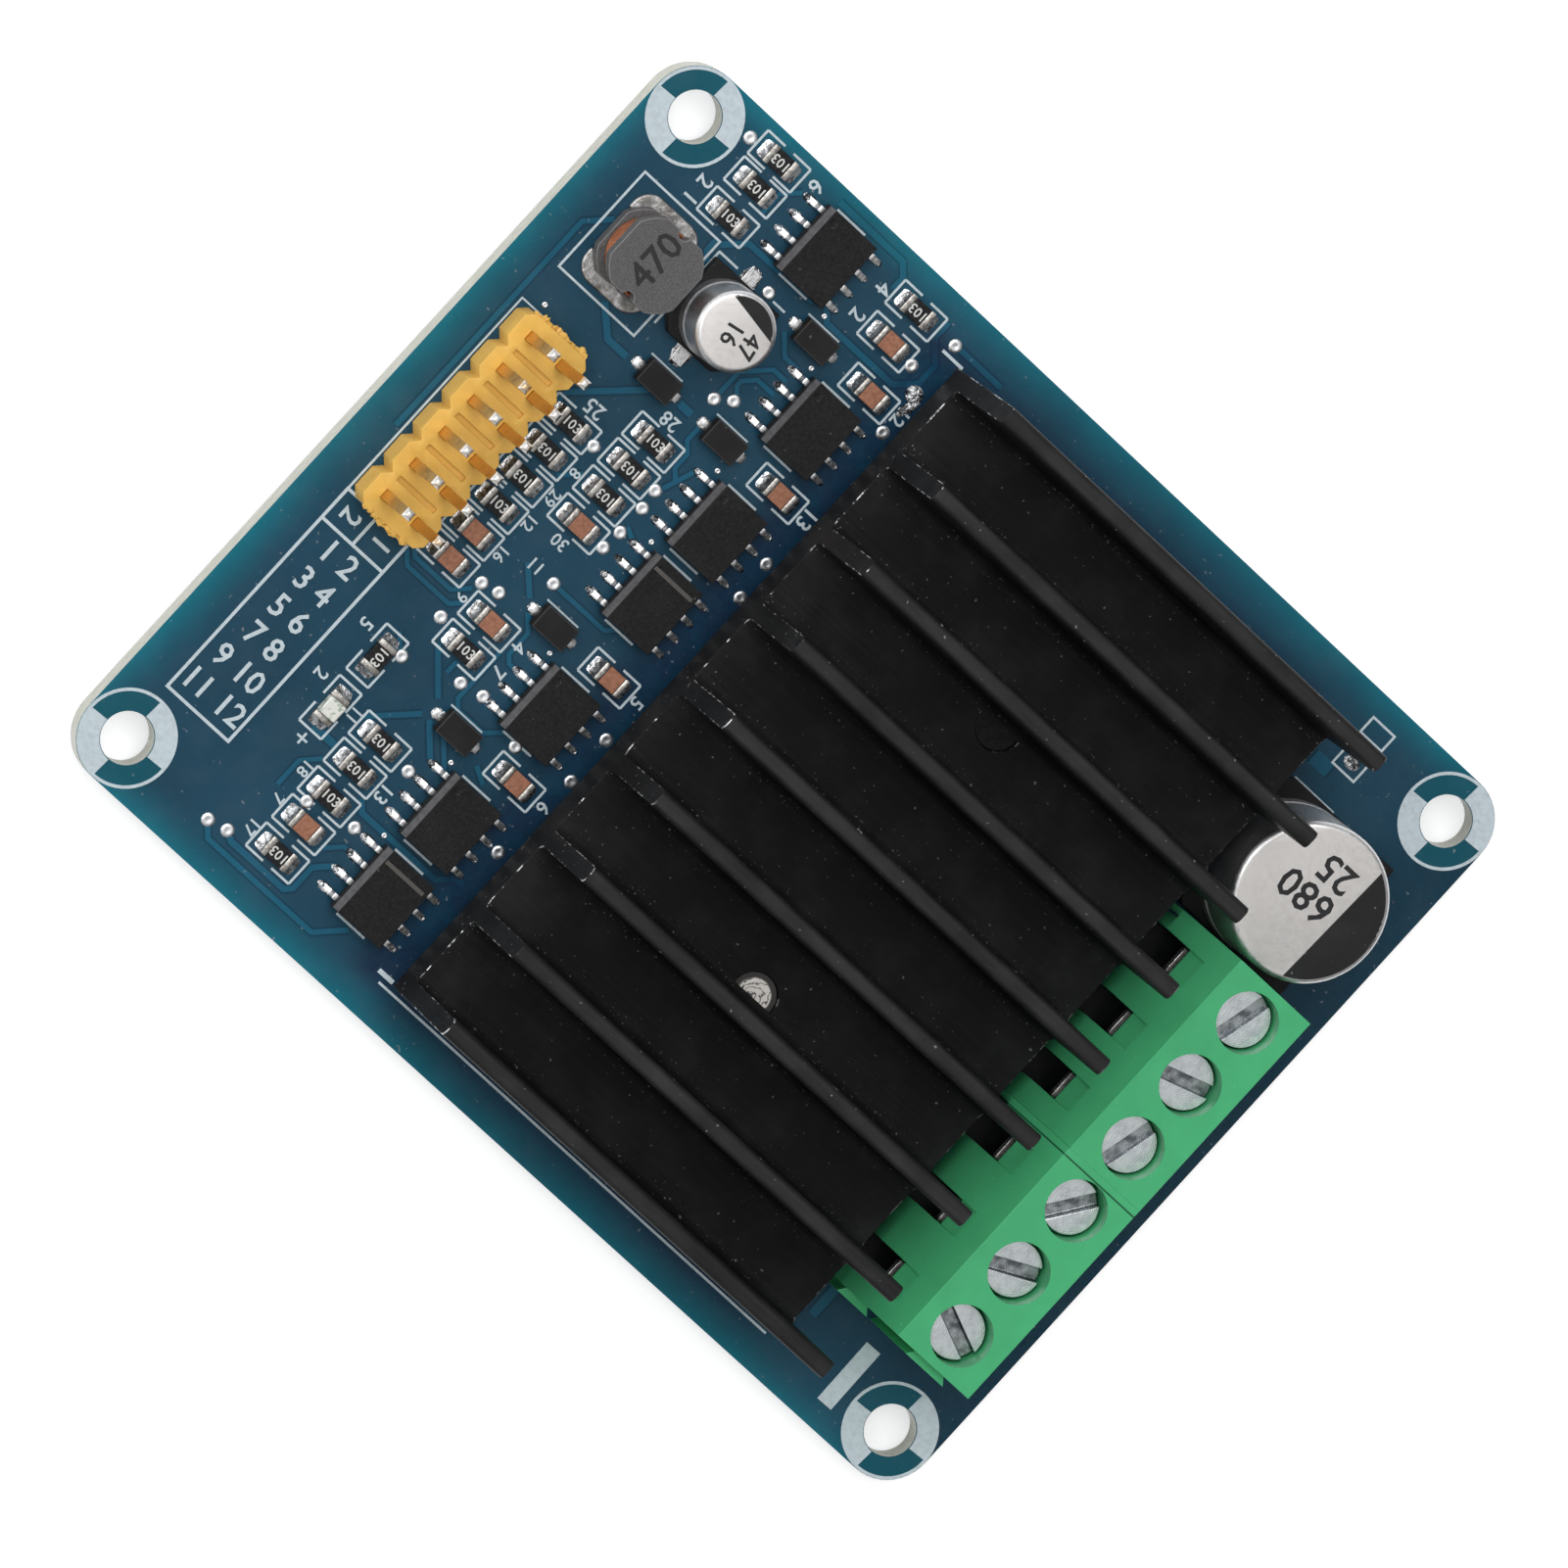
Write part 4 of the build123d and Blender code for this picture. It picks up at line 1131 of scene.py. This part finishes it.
# The printed legend
def hole_rings():
    """A thin outer circle and two wide quarter rings round each mounting hole."""
    runs = []
    for side_x in (-1, 1):
        for side_y in (-1, 1):
            x = side_x * (BOARD_HALF_LENGTH - HOLE_INSET) / MM
            y = side_y * (BOARD_HALF_WIDTH - HOLE_INSET) / MM
            runs.append(strip(arc(x, y, 2.97, 0, 360, 48)[:-1], 0.2, True))
            for start in (0, 180):
                runs.append(strip(arc(x, y, 2.33, start, start + 90), 1.26))
    return runs


def part_brackets(node):
    """Two square brackets round each two-ended part of a node, open in the middle."""
    runs = []
    middles = [(low + high) / 2 for low, high in solids_of(node)]
    while middles:
        first = middles.pop(0)
        second = min(middles, key=lambda other: (other - first).length)
        middles.remove(second)
        along_x = abs(second.x - first.x) > abs(second.y - first.y)
        centre = (first + second) / 2
        x, y = centre.x / MM, centre.y / MM
        for side in (-1, 1):
            end = side * BRACKET_REACH
            inner = side * BRACKET_GAP
            for ends in (((end, -BRACKET_ACROSS), (end, BRACKET_ACROSS)),
                         ((inner, -BRACKET_ACROSS), (end, -BRACKET_ACROSS)),
                         ((inner, BRACKET_ACROSS), (end, BRACKET_ACROSS))):
                turned = [spot if along_x else spot[::-1] for spot in ends]
                runs.append(strip([(x + spot[0], y + spot[1]) for spot in turned], 0.15))
    return runs


def board_outlines():
    """Boxes and lines of the legend that aren't tied to a chip part."""
    runs = [
        *frame_box(-32.85, -21.1, -27.75, -5.2, 0.2),
        line(-32.85, -7.5, -27.75, -7.5, 0.2),
        line(-30.3, -7.5, -30.3, -5.2, 0.2),
        strip([(-32.85, -5.2), (-32.85, 10.15), (-27.6, 10.15)], 0.15),
        *frame_box(-32.5, 13.0, -26.15, 20.6, 0.15),
        line(-25.75, 14.4, -25.75, 20.15, 0.15),
        line(-25.8, 20.15, -24.2, 20.15, 0.15),
        line(-21.2, 20.15, -20.2, 20.15, 0.15),
        line(-24.5, -18.4, -24.5, -17.6, 0.15),
        line(-24.9, -18.0, -24.1, -18.0, 0.15),
        line(23.4, 20.7, 26.8, 20.7, 0.15),
        line(-11.3, 24.95, -9.6, 24.95, 0.2),
        line(-11.2, -25.15, -10.0, -25.15, 0.3),
        line(28.22, -26.5, 28.15, -21.97, 1.15),
        line(-10.7, -25.7, 22.4, -25.7, 0.16),
        *frame_box(24.55, 22.9, 26.4, 24.5, 0.15),
        *frame_box(24.55, 25.4, 26.4, 26.6, 0.15),
    ]
    for chip in CHIPS:
        low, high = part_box(chip)
        x = top_centre(chip)[0] / MM
        for y in (low.y / MM - 0.14, high.y / MM + 0.14):
            runs.append(line(x - 1.15, y, x + 1.2, y, 0.15))
    for diode in DIODES:
        x = top_centre(diode)[0] / MM
        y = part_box(diode)[1].y / MM + 0.15
        runs.append(line(x - 1.3, y, x + 1.3, y, 0.12))
    return runs


# Plain numbers on the board: number, x, y, height, turn in degrees
BOARD_NUMBERS = [
    ("6", -24.1, 26.9, 1.0, -90), ("2", -29.4, 22.6, 1.0, -90), ("1", -29.4, 21.3, 1.0, -90),
    ("4", -16.7, 25.2, 1.0, -90), ("2", -16.8, 23.0, 1.0, -90), ("12", -10.5, 20.3, 0.9, -90),
    ("13", -10.5, 12.0, 1.0, -90), ("28", -20.9, 10.75, 0.9, 180), ("25", -24.9, 8.25, 0.95, 180),
    ("8", -23.12, 4.6, 0.75, -90), ("29", -23.12, 2.6, 0.75, -90), ("12", -23.12, 0.6, 0.75, -90),
    ("16", -23.12, -1.9, 0.75, -90), ("30", -20.9, 1.0, 0.8, 180), ("11", -21.0, -1.0, 0.8, 180),
    ("9", -23.12, -5.4, 0.75, -90), ("4", -18.4, -5.3, 0.9, -90), ("7", -18.3, -7.2, 0.9, -90),
    ("5", -26.4, -10.4, 0.9, -90), ("2", -26.4, -14.4, 0.9, -90), ("11", -23.12, -14.9, 0.75, -90),
    ("13", -18.45, -17.2, 0.9, -90), ("18", -23.12, -19.2, 0.75, -90), ("7", -23.12, -21.6, 0.75, -90),
    ("17", -23.12, -23.9, 0.75, -90), ("5", -10.6, -3.0, 0.9, -90), ("6", -10.5, -11.4, 0.9, -90),
    ("1 2", -30.3, -8.75, 1.45, 0), ("3 4", -30.3, -10.95, 1.45, 0), ("5 6", -30.3, -13.15, 1.45, 0),
    ("7 8", -30.3, -15.35, 1.45, 0), ("9 10", -30.3, -17.55, 1.45, 0), ("11 12", -30.3, -19.75, 1.45, 0),
    ("2", -31.6, -6.35, 1.3, -90), ("1", -29.05, -6.35, 1.3, -90),
]


class MOTORBOARD_OT_print_legend(bpy.types.Operator):
    """Print the white outlines, rings and plain numbers on the board"""

    bl_idname = "motor_board.print_legend"
    bl_label = "Print Legend"

    def execute(self, context):
        level = BOARD_TOP + sizes().print_height
        runs = hole_rings() + board_outlines()
        for node in TWO_ENDED:
            runs += part_brackets(node)
        carry(lay_strips("legend_outlines", runs, BOARD_TOP - SUNK, level), legend_ink())
        marks = [number(text, x, y, level, height, turn) for text, x, y, height, turn in BOARD_NUMBERS]
        carry(join(marks, "legend_numbers"), legend_ink())
        return {"FINISHED"}


class MOTORBOARD_OT_finish_board(bpy.types.Operator):
    """Give the bare board its mask and cut edges, and the solder its shine"""

    bl_idname = "motor_board.finish_board"
    bl_label = "Finish Board"

    def execute(self, context):
        paint_node("circuit_board", solder_mask())
        dressed("solder_joints", bright_solder(), 0.0, shade=60.0)
        return {"FINISHED"}


# Solder on a chip's lead, in mm: how far beyond the toe it sits, and its reach. Far leads have less
LEAD_DROPS = [(-0.28, (0.70, 0.31, 0.15)), (0.03, (0.28, 0.25, 0.24))]
FAR_LEAD_SHARE = 0.72


class MOTORBOARD_OT_solder_parts(bpy.types.Operator):
    """Put a solder joint under each lead and each part end"""

    bl_idname = "motor_board.solder_parts"
    bl_label = "Solder Parts"

    def lead_places(self):
        """One foot and one toe drop for each chip lead."""
        places = []
        for chip in CHIPS:
            middle = top_centre(chip)[0]
            for low, high in solids_of(f"{chip}_leads"):
                side = 1 if low.x > middle else -1
                toe = high.x if side > 0 else low.x
                y = (low.y + high.y) / 2
                size = 1.0 if side < 0 else FAR_LEAD_SHARE
                for shift, reach in LEAD_DROPS:
                    places.append((toe + side * shift * MM, y, BOARD_TOP, 0.0,
                                   [part * size * MM for part in reach]))
        return places

    def end_places(self):
        """One ramp beyond each end of the two-ended parts."""
        places = []
        for node in TWO_ENDED:
            ends = solids_of(node)
            centres = [(low + high) / 2 for low, high in ends]
            for centre, (low, high) in zip(centres, ends):
                nearest = min((other for other in centres if other != centre),
                              key=lambda other: (other - centre).length)
                outward = (centre - nearest).normalized()
                turn = math.atan2(outward.y, outward.x)
                spot = centre + outward * 0.18 * MM
                rise = min(0.75 * (high.z - BOARD_TOP), 0.5 * MM)
                places.append((spot.x, spot.y, BOARD_TOP - 0.01 * MM, turn, (0.50 * MM, 0.60 * MM, rise)))
        return places

    def foot_places(self):
        """One low drop round each diode foot and each capacitor lead."""
        places = []
        for node in ("diode_leads", "small_capacitor_leads", "large_capacitor_leads"):
            for low, high in solids_of(node):
                centre = (low + high) / 2
                reach = (high - low) / 2
                size = (reach.x + 0.2 * MM, reach.y + 0.2 * MM, 0.1 * MM)
                if node == "diode_leads":
                    size = (0.60 * MM, 0.38 * MM, 0.08 * MM)
                places.append((centre.x, centre.y, BOARD_TOP, 0.0, size))
        return places

    def execute(self, context):
        spilt = [(-10.75 * MM, 21.85 * MM, BOARD_TOP, 0.0, (0.6 * MM, 0.6 * MM, 0.25 * MM)),
                 (-10.45 * MM, 21.0 * MM, BOARD_TOP, -0.3, (0.35 * MM, 0.9 * MM, 0.18 * MM)),
                 (25.5 * MM, 23.65 * MM, BOARD_TOP, 0.0, (0.62 * MM, 0.42 * MM, 0.12 * MM))]
        for drop, places, name, finish in (
                (solder_drop("lead_drop"), self.lead_places(), "lead_solder", creased_solder()),
                (solder_ramp("end_ramp"), self.end_places(), "part_solder", bright_solder()),
                (solder_drop("foot_drop", squareness=0.8), self.foot_places(), "foot_solder",
                 creased_solder()),
                (solder_drop("spill_drop"), spilt, "solder_spill", creased_solder())):
            carry(repeat(drop, places, name), finish)
        return {"FINISHED"}


class MOTORBOARD_OT_finish_heatsink(bpy.types.Operator):
    """Soften and blacken the heatsink, with bare metal showing along its cut edges"""

    bl_idname = "motor_board.finish_heatsink"
    bl_label = "Finish Heatsink"

    def execute(self, context):
        dressed("heatsink", anodised_black(), sizes().fin_edge, sharp=50.0)
        dressed("heatsink_screws", fixing_steel(), 0.08 * MM)
        paint_node("thermal_pad", silicone_pad())
        dressed("power_transistors", chip_moulding(), 0.1 * MM)
        dressed("power_transistor_tabs", tin_plate(), 0.04 * MM)
        return {"FINISHED"}


class MOTORBOARD_OT_finish_terminals(bpy.types.Operator):
    """Soften the terminal blocks and give their screws, clamps and contacts their metal"""

    bl_idname = "motor_board.finish_terminals"
    bl_label = "Finish Terminals"

    def execute(self, context):
        for block in (1, 2):
            dressed(f"terminal_housing_{block}", green_moulding(), sizes().moulding_edge)
        for pole in POLES:
            dressed(f"terminal_screw_{pole}", zinc_screw(pole), sizes().screw_edge, 3)
            dressed(f"wire_clamp_{pole}", nickel(), 0.08 * MM)
        dressed("terminal_contacts", nickel(), 0.06 * MM)
        return {"FINISHED"}


class MOTORBOARD_OT_finish_header(bpy.types.Operator):
    """Soften the pin header, leave saw burrs on its cut ends and gild its pins"""

    bl_idname = "motor_board.finish_header"
    bl_label = "Finish Header"

    def execute(self, context):
        dressed("header_housing", yellow_moulding(), 0.06 * MM, flat=0.0)
        dressed("header_pins", gold_pin(), 0.03 * MM)
        low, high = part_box("header_housing")
        chance = random.Random(7)
        places = []
        for end in (low.y, high.y):
            for step in range(BURRS_PER_END):
                x = low.x + 0.6 * MM + chance.random() * (high.x - low.x - 1.2 * MM)
                stretch = [chance.uniform(0.1, 0.34) * MM, chance.uniform(0.15, 0.5) * MM,
                           chance.uniform(0.08, 0.26) * MM]
                z = high.z - chance.uniform(0.1, 0.7) * MM
                places.append((x, end, z, chance.uniform(0, 3), stretch))
        bpy.ops.mesh.primitive_ico_sphere_add(subdivisions=2, radius=1.0)
        crumb = bpy.context.object
        with editing(crumb):
            bpy.ops.transform.vertex_random(offset=0.42, seed=3)
        carry(repeat(crumb, places, "header_burrs"), yellow_moulding())
        return {"FINISHED"}


class MOTORBOARD_OT_finish_chips(bpy.types.Operator):
    """Soften the chips, the diodes and their leads"""

    bl_idname = "motor_board.finish_chips"
    bl_label = "Finish Chips"

    def execute(self, context):
        for chip in CHIPS:
            dressed(chip, chip_moulding(), sizes().chip_edge, sharp=15.0, shade=30.0)
            dressed(f"{chip}_leads", tin_plate(), sizes().lead_edge, sharp=25.0)
        for diode in DIODES:
            dressed(diode, diode_moulding(), 0.06 * MM, sharp=20.0)
        dressed("diode_leads", tin_plate(), 0.05 * MM)
        bars = []
        for chip in LOGIC_CHIPS:
            low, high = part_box(chip)
            y = high.y / MM - 0.75
            bars.append(line(low.x / MM + 0.45, y, high.x / MM - 0.35, y, 0.26))
        marks = lay_strips("chip_bars", bars, high.z - 0.01 * MM, high.z + THIN_PRINT * MM)
        carry(marks, value_ink("faded_ink", (0.085, 0.078, 0.070)))
        return {"FINISHED"}


class MOTORBOARD_OT_finish_chip_parts(bpy.types.Operator):
    """Finish the chip resistors, chip capacitors and the indicator, with plain value numbers"""

    bl_idname = "motor_board.finish_chip_parts"
    bl_label = "Finish Chip Parts"

    def execute(self, context):
        for node, finish, edge, rounds in (("chip_resistors", resistor_glaze(), 0.04, 2),
                                           ("chip_resistor_ends", end_plate(), 0.06, 2),
                                           ("chip_capacitors", capacitor_ceramic(), 0.06, 2),
                                           ("chip_capacitor_ends", end_plate(), 0.09, 2),
                                           ("indicator_light", indicator_resin(), 0.12, 3),
                                           ("indicator_light_ends", end_plate(), 0.05, 2)):
            dressed(node, finish, edge * MM, rounds)
        marks = []
        for index, (low, high) in enumerate(solids_of("chip_resistors")):
            centre = (low + high) / 2
            along_x = high.y - low.y > high.x - low.x
            turn = (180 if index % 3 else 0) if along_x else -90
            marks.append(number("103", centre.x / MM, centre.y / MM, high.z, 0.62, turn, THIN_PRINT))
        carry(join(marks, "resistor_numbers"), value_ink("pale_ink", (0.62, 0.62, 0.60)))
        return {"FINISHED"}


# Plain numbers on the capacitors' tops: can, number, x, y, height, turn in degrees
CAN_NUMBERS = [("large", "680", 26.15, 15.7, 1.85, 180), ("large", "25", 26.7, 17.9, 1.75, 180),
               ("small", "47", -22.1, 17.0, 1.1, -80), ("small", "16", -23.4, 16.9, 1.1, -80)]


class MOTORBOARD_OT_finish_capacitors(bpy.types.Operator):
    """Finish the two electrolytic capacitors with a black segment and plain numbers on top"""

    bl_idname = "motor_board.finish_capacitors"
    bl_label = "Finish Capacitors"

    def execute(self, context):
        for size, towards, chord, rim in (("large", (1.0, -0.03), 1.9, 0.16),
                                          ("small", (0.16, 0.99), 1.2, 0.02)):
            part = f"{size}_capacitor"
            metal = can_finish(f"{size}_can", f"{part}_can", towards, chord * MM, rim * MM)
            dressed(f"{part}_can", metal, 0.0, shade=50.0)
            dressed(f"{part}_base", black_base(), 0.12 * MM, 3)
            dressed(f"{part}_leads", tin_plate(), 0.04 * MM)
        marks = [number(text, x, y, top_centre(f"{size}_capacitor_can")[2], height, turn, THIN_PRINT)
                 for size, text, x, y, height, turn in CAN_NUMBERS]
        carry(join(marks, "capacitor_numbers"), value_ink("black_ink", BLACK_INK))
        return {"FINISHED"}


class MOTORBOARD_OT_wind_inductor(bpy.types.Operator):
    """Wind the inductor with copper wire and finish its core and terminals"""

    bl_idname = "motor_board.wind_inductor"
    bl_label = "Wind Inductor"

    def execute(self, context):
        dressed("inductor_core", ferrite(), 0.08 * MM, sharp=50.0)
        dressed("inductor_terminals", crumpled_plate(), 0.14 * MM, 3)
        low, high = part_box("inductor_winding")
        wire = sizes().wire_radius
        bpy.ops.mesh.primitive_torus_add(major_radius=(high.x - low.x) / 2 - wire, minor_radius=wire,
                                         major_segments=40, minor_segments=8)
        turn = bpy.context.object
        smooth(turn, 80.0)
        middle = (low + high) / 2
        places = [(middle.x, middle.y, low.z + wire * (1 + 2 * layer), TURN_STEP * layer, (1, 1, 1))
                  for layer in range(int((high.z - low.z) / (2 * wire)))]
        winding = repeat(turn, places, "copper_turns")
        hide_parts("inductor_winding")
        carry(winding, copper_wire())
        top = top_centre("inductor_core")[2]
        mark = number("470", middle.x / MM - 0.2, middle.y / MM + 0.2, top, 1.7, 90, THIN_PRINT)
        carry(join([mark], "inductor_number"), value_ink("black_ink", BLACK_INK))
        return {"FINISHED"}


# Floor, lamps and camera
@made_once
def floor_finish():
    """Pale paper that shows near white to the camera and keeps the object's shadow."""
    finish = Finish("studio_floor", 0.9, specular=0.1)
    finish.base(finish.mix(finish.noise(200.0, 2.0), grey(0.79), grey(0.81)))
    path = finish.node("ShaderNodeLightPath").outputs
    seen = finish.most(path["Is Camera Ray"], path["Is Glossy Ray"])
    seen = finish.most(seen, path["Is Transmission Ray"])
    finish.give("Emission Color", grey(1.0))
    finish.give("Emission Strength", finish.times(seen, 0.5))
    return finish


def room(strength):
    """A soft grey ceiling, a darker band below it and a white horizon."""
    world = bpy.data.worlds.new("studio_room")
    world.use_nodes = True
    bpy.context.scene.world = world
    sky = Nodes(world.node_tree)
    background = sky.tree.nodes["Background"]
    sky.feed(background.inputs["Color"], grey(1.0))
    place = sky.node("ShaderNodeTexCoord").outputs["Generated"]
    split = sky.node("ShaderNodeSeparateXYZ", {0: place}).outputs
    height = sky.node("ShaderNodeValToRGB", {"Fac": split["Z"]})
    stops = height.color_ramp.elements
    for share, level in ((0.2, 0.85), (0.38, 0.28), (0.6, 0.28), (0.85, strength)):
        stops.new(share).color = (*grey(level), 1.0)
    stops[0].color = (*grey(0.95), 1.0)
    stops[-1].color = (*grey(strength), 1.0)
    lit = sky.times(height.outputs["Color"], sky.span(split["X"], -1.0, 1.0, 1.5, 0.35))
    seen = sky.node("ShaderNodeLightPath").outputs["Is Camera Ray"]
    shown = sky.node("ShaderNodeMix", {0: seen, 2: lit, 3: 1.0}, data_type="FLOAT")
    sky.feed(background.inputs["Strength"], shown.outputs[0])


def soft_lamp(name, place, size, power):
    """A square lamp that faces the board's middle."""
    bpy.ops.object.light_add(type="AREA", location=place)
    lamp = bpy.context.object
    lamp.name = name
    lamp.data.shape = "SQUARE"
    lamp.data.size = size
    lamp.data.energy = power
    aim = Vector((0.0, 0.0, 0.0)) - Vector(place)
    lamp.rotation_euler = aim.to_track_quat("-Z", "Y").to_euler()


class MOTORBOARD_OT_set_stage(bpy.types.Operator):
    """Lay the floor, hang the lamps and stand the camera"""

    bl_idname = "motor_board.set_stage"
    bl_label = "Set Stage"

    def execute(self, context):
        stage = context.scene.motor_board_stage
        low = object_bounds()[0].z - 0.02 * MM
        bpy.ops.mesh.primitive_plane_add(size=6.0, location=(0.0, 0.0, low))
        floor = context.object
        floor.name = "studio_floor"
        settle(floor)
        paint(floor, floor_finish())
        floor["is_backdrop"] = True
        room(stage.fill)
        soft_lamp("key_lamp", (-0.24, 0.13, 0.60), 0.5, stage.key_power)
        soft_lamp("side_lamp", (-0.55, -0.25, 0.25), 0.30, stage.rim_power)
        right = Vector(stage.camera_right).normalized()
        down = Vector(stage.camera_down).normalized()
        forward = right.cross(down)
        bpy.ops.object.camera_add(location=stage.camera_place)
        camera = context.object
        camera.rotation_euler = Matrix((right, -down, -forward)).transposed().to_euler()
        camera.data.sensor_width = 36.0
        camera.data.lens = stage.lens
        camera.data.clip_start = 0.01
        camera.data.clip_end = 20.0
        context.scene.camera = camera
        context.scene.view_settings.view_transform = "Standard"
        return {"FINISHED"}


class MOTORBOARD_PT_panel(bpy.types.Panel):
    """Steps that dress the motor driver board, in order"""

    bl_idname = "MOTORBOARD_PT_panel"
    bl_label = "Motor Driver Board"
    bl_space_type = "VIEW_3D"
    bl_region_type = "UI"
    bl_category = "Motor Board"

    def draw(self, context):
        for step in STEPS:
            self.layout.operator(step.bl_idname)
        for group in ("motor_board_sizes", "motor_board_colours", "motor_board_stage"):
            settings = getattr(context.scene, group)
            box = self.layout.box()
            for name in settings.__annotations__:
                box.prop(settings, name)


STEPS = (
    MOTORBOARD_OT_finish_board,
    MOTORBOARD_OT_lay_tracks,
    MOTORBOARD_OT_fill_vias,
    MOTORBOARD_OT_print_legend,
    MOTORBOARD_OT_solder_parts,
    MOTORBOARD_OT_finish_heatsink,
    MOTORBOARD_OT_finish_terminals,
    MOTORBOARD_OT_finish_header,
    MOTORBOARD_OT_finish_chips,
    MOTORBOARD_OT_finish_chip_parts,
    MOTORBOARD_OT_finish_capacitors,
    MOTORBOARD_OT_wind_inductor,
    MOTORBOARD_OT_set_stage,
)
SETTINGS = {
    "motor_board_sizes": MotorBoardSizes,
    "motor_board_colours": MotorBoardColours,
    "motor_board_stage": MotorBoardStage,
}


def register():
    for name, settings in SETTINGS.items():
        bpy.utils.register_class(settings)
        setattr(bpy.types.Scene, name, bpy.props.PointerProperty(type=settings))
    for step in STEPS:
        bpy.utils.register_class(step)
    bpy.utils.register_class(MOTORBOARD_PT_panel)


def unregister():
    bpy.utils.unregister_class(MOTORBOARD_PT_panel)
    for step in reversed(STEPS):
        bpy.utils.unregister_class(step)
    for name, settings in SETTINGS.items():
        delattr(bpy.types.Scene, name)
        bpy.utils.unregister_class(settings)


def main():
    register()
    for step in STEPS:
        getattr(bpy.ops.motor_board, step.bl_idname.split(".")[1])()


if __name__ == "__main__":
    main()
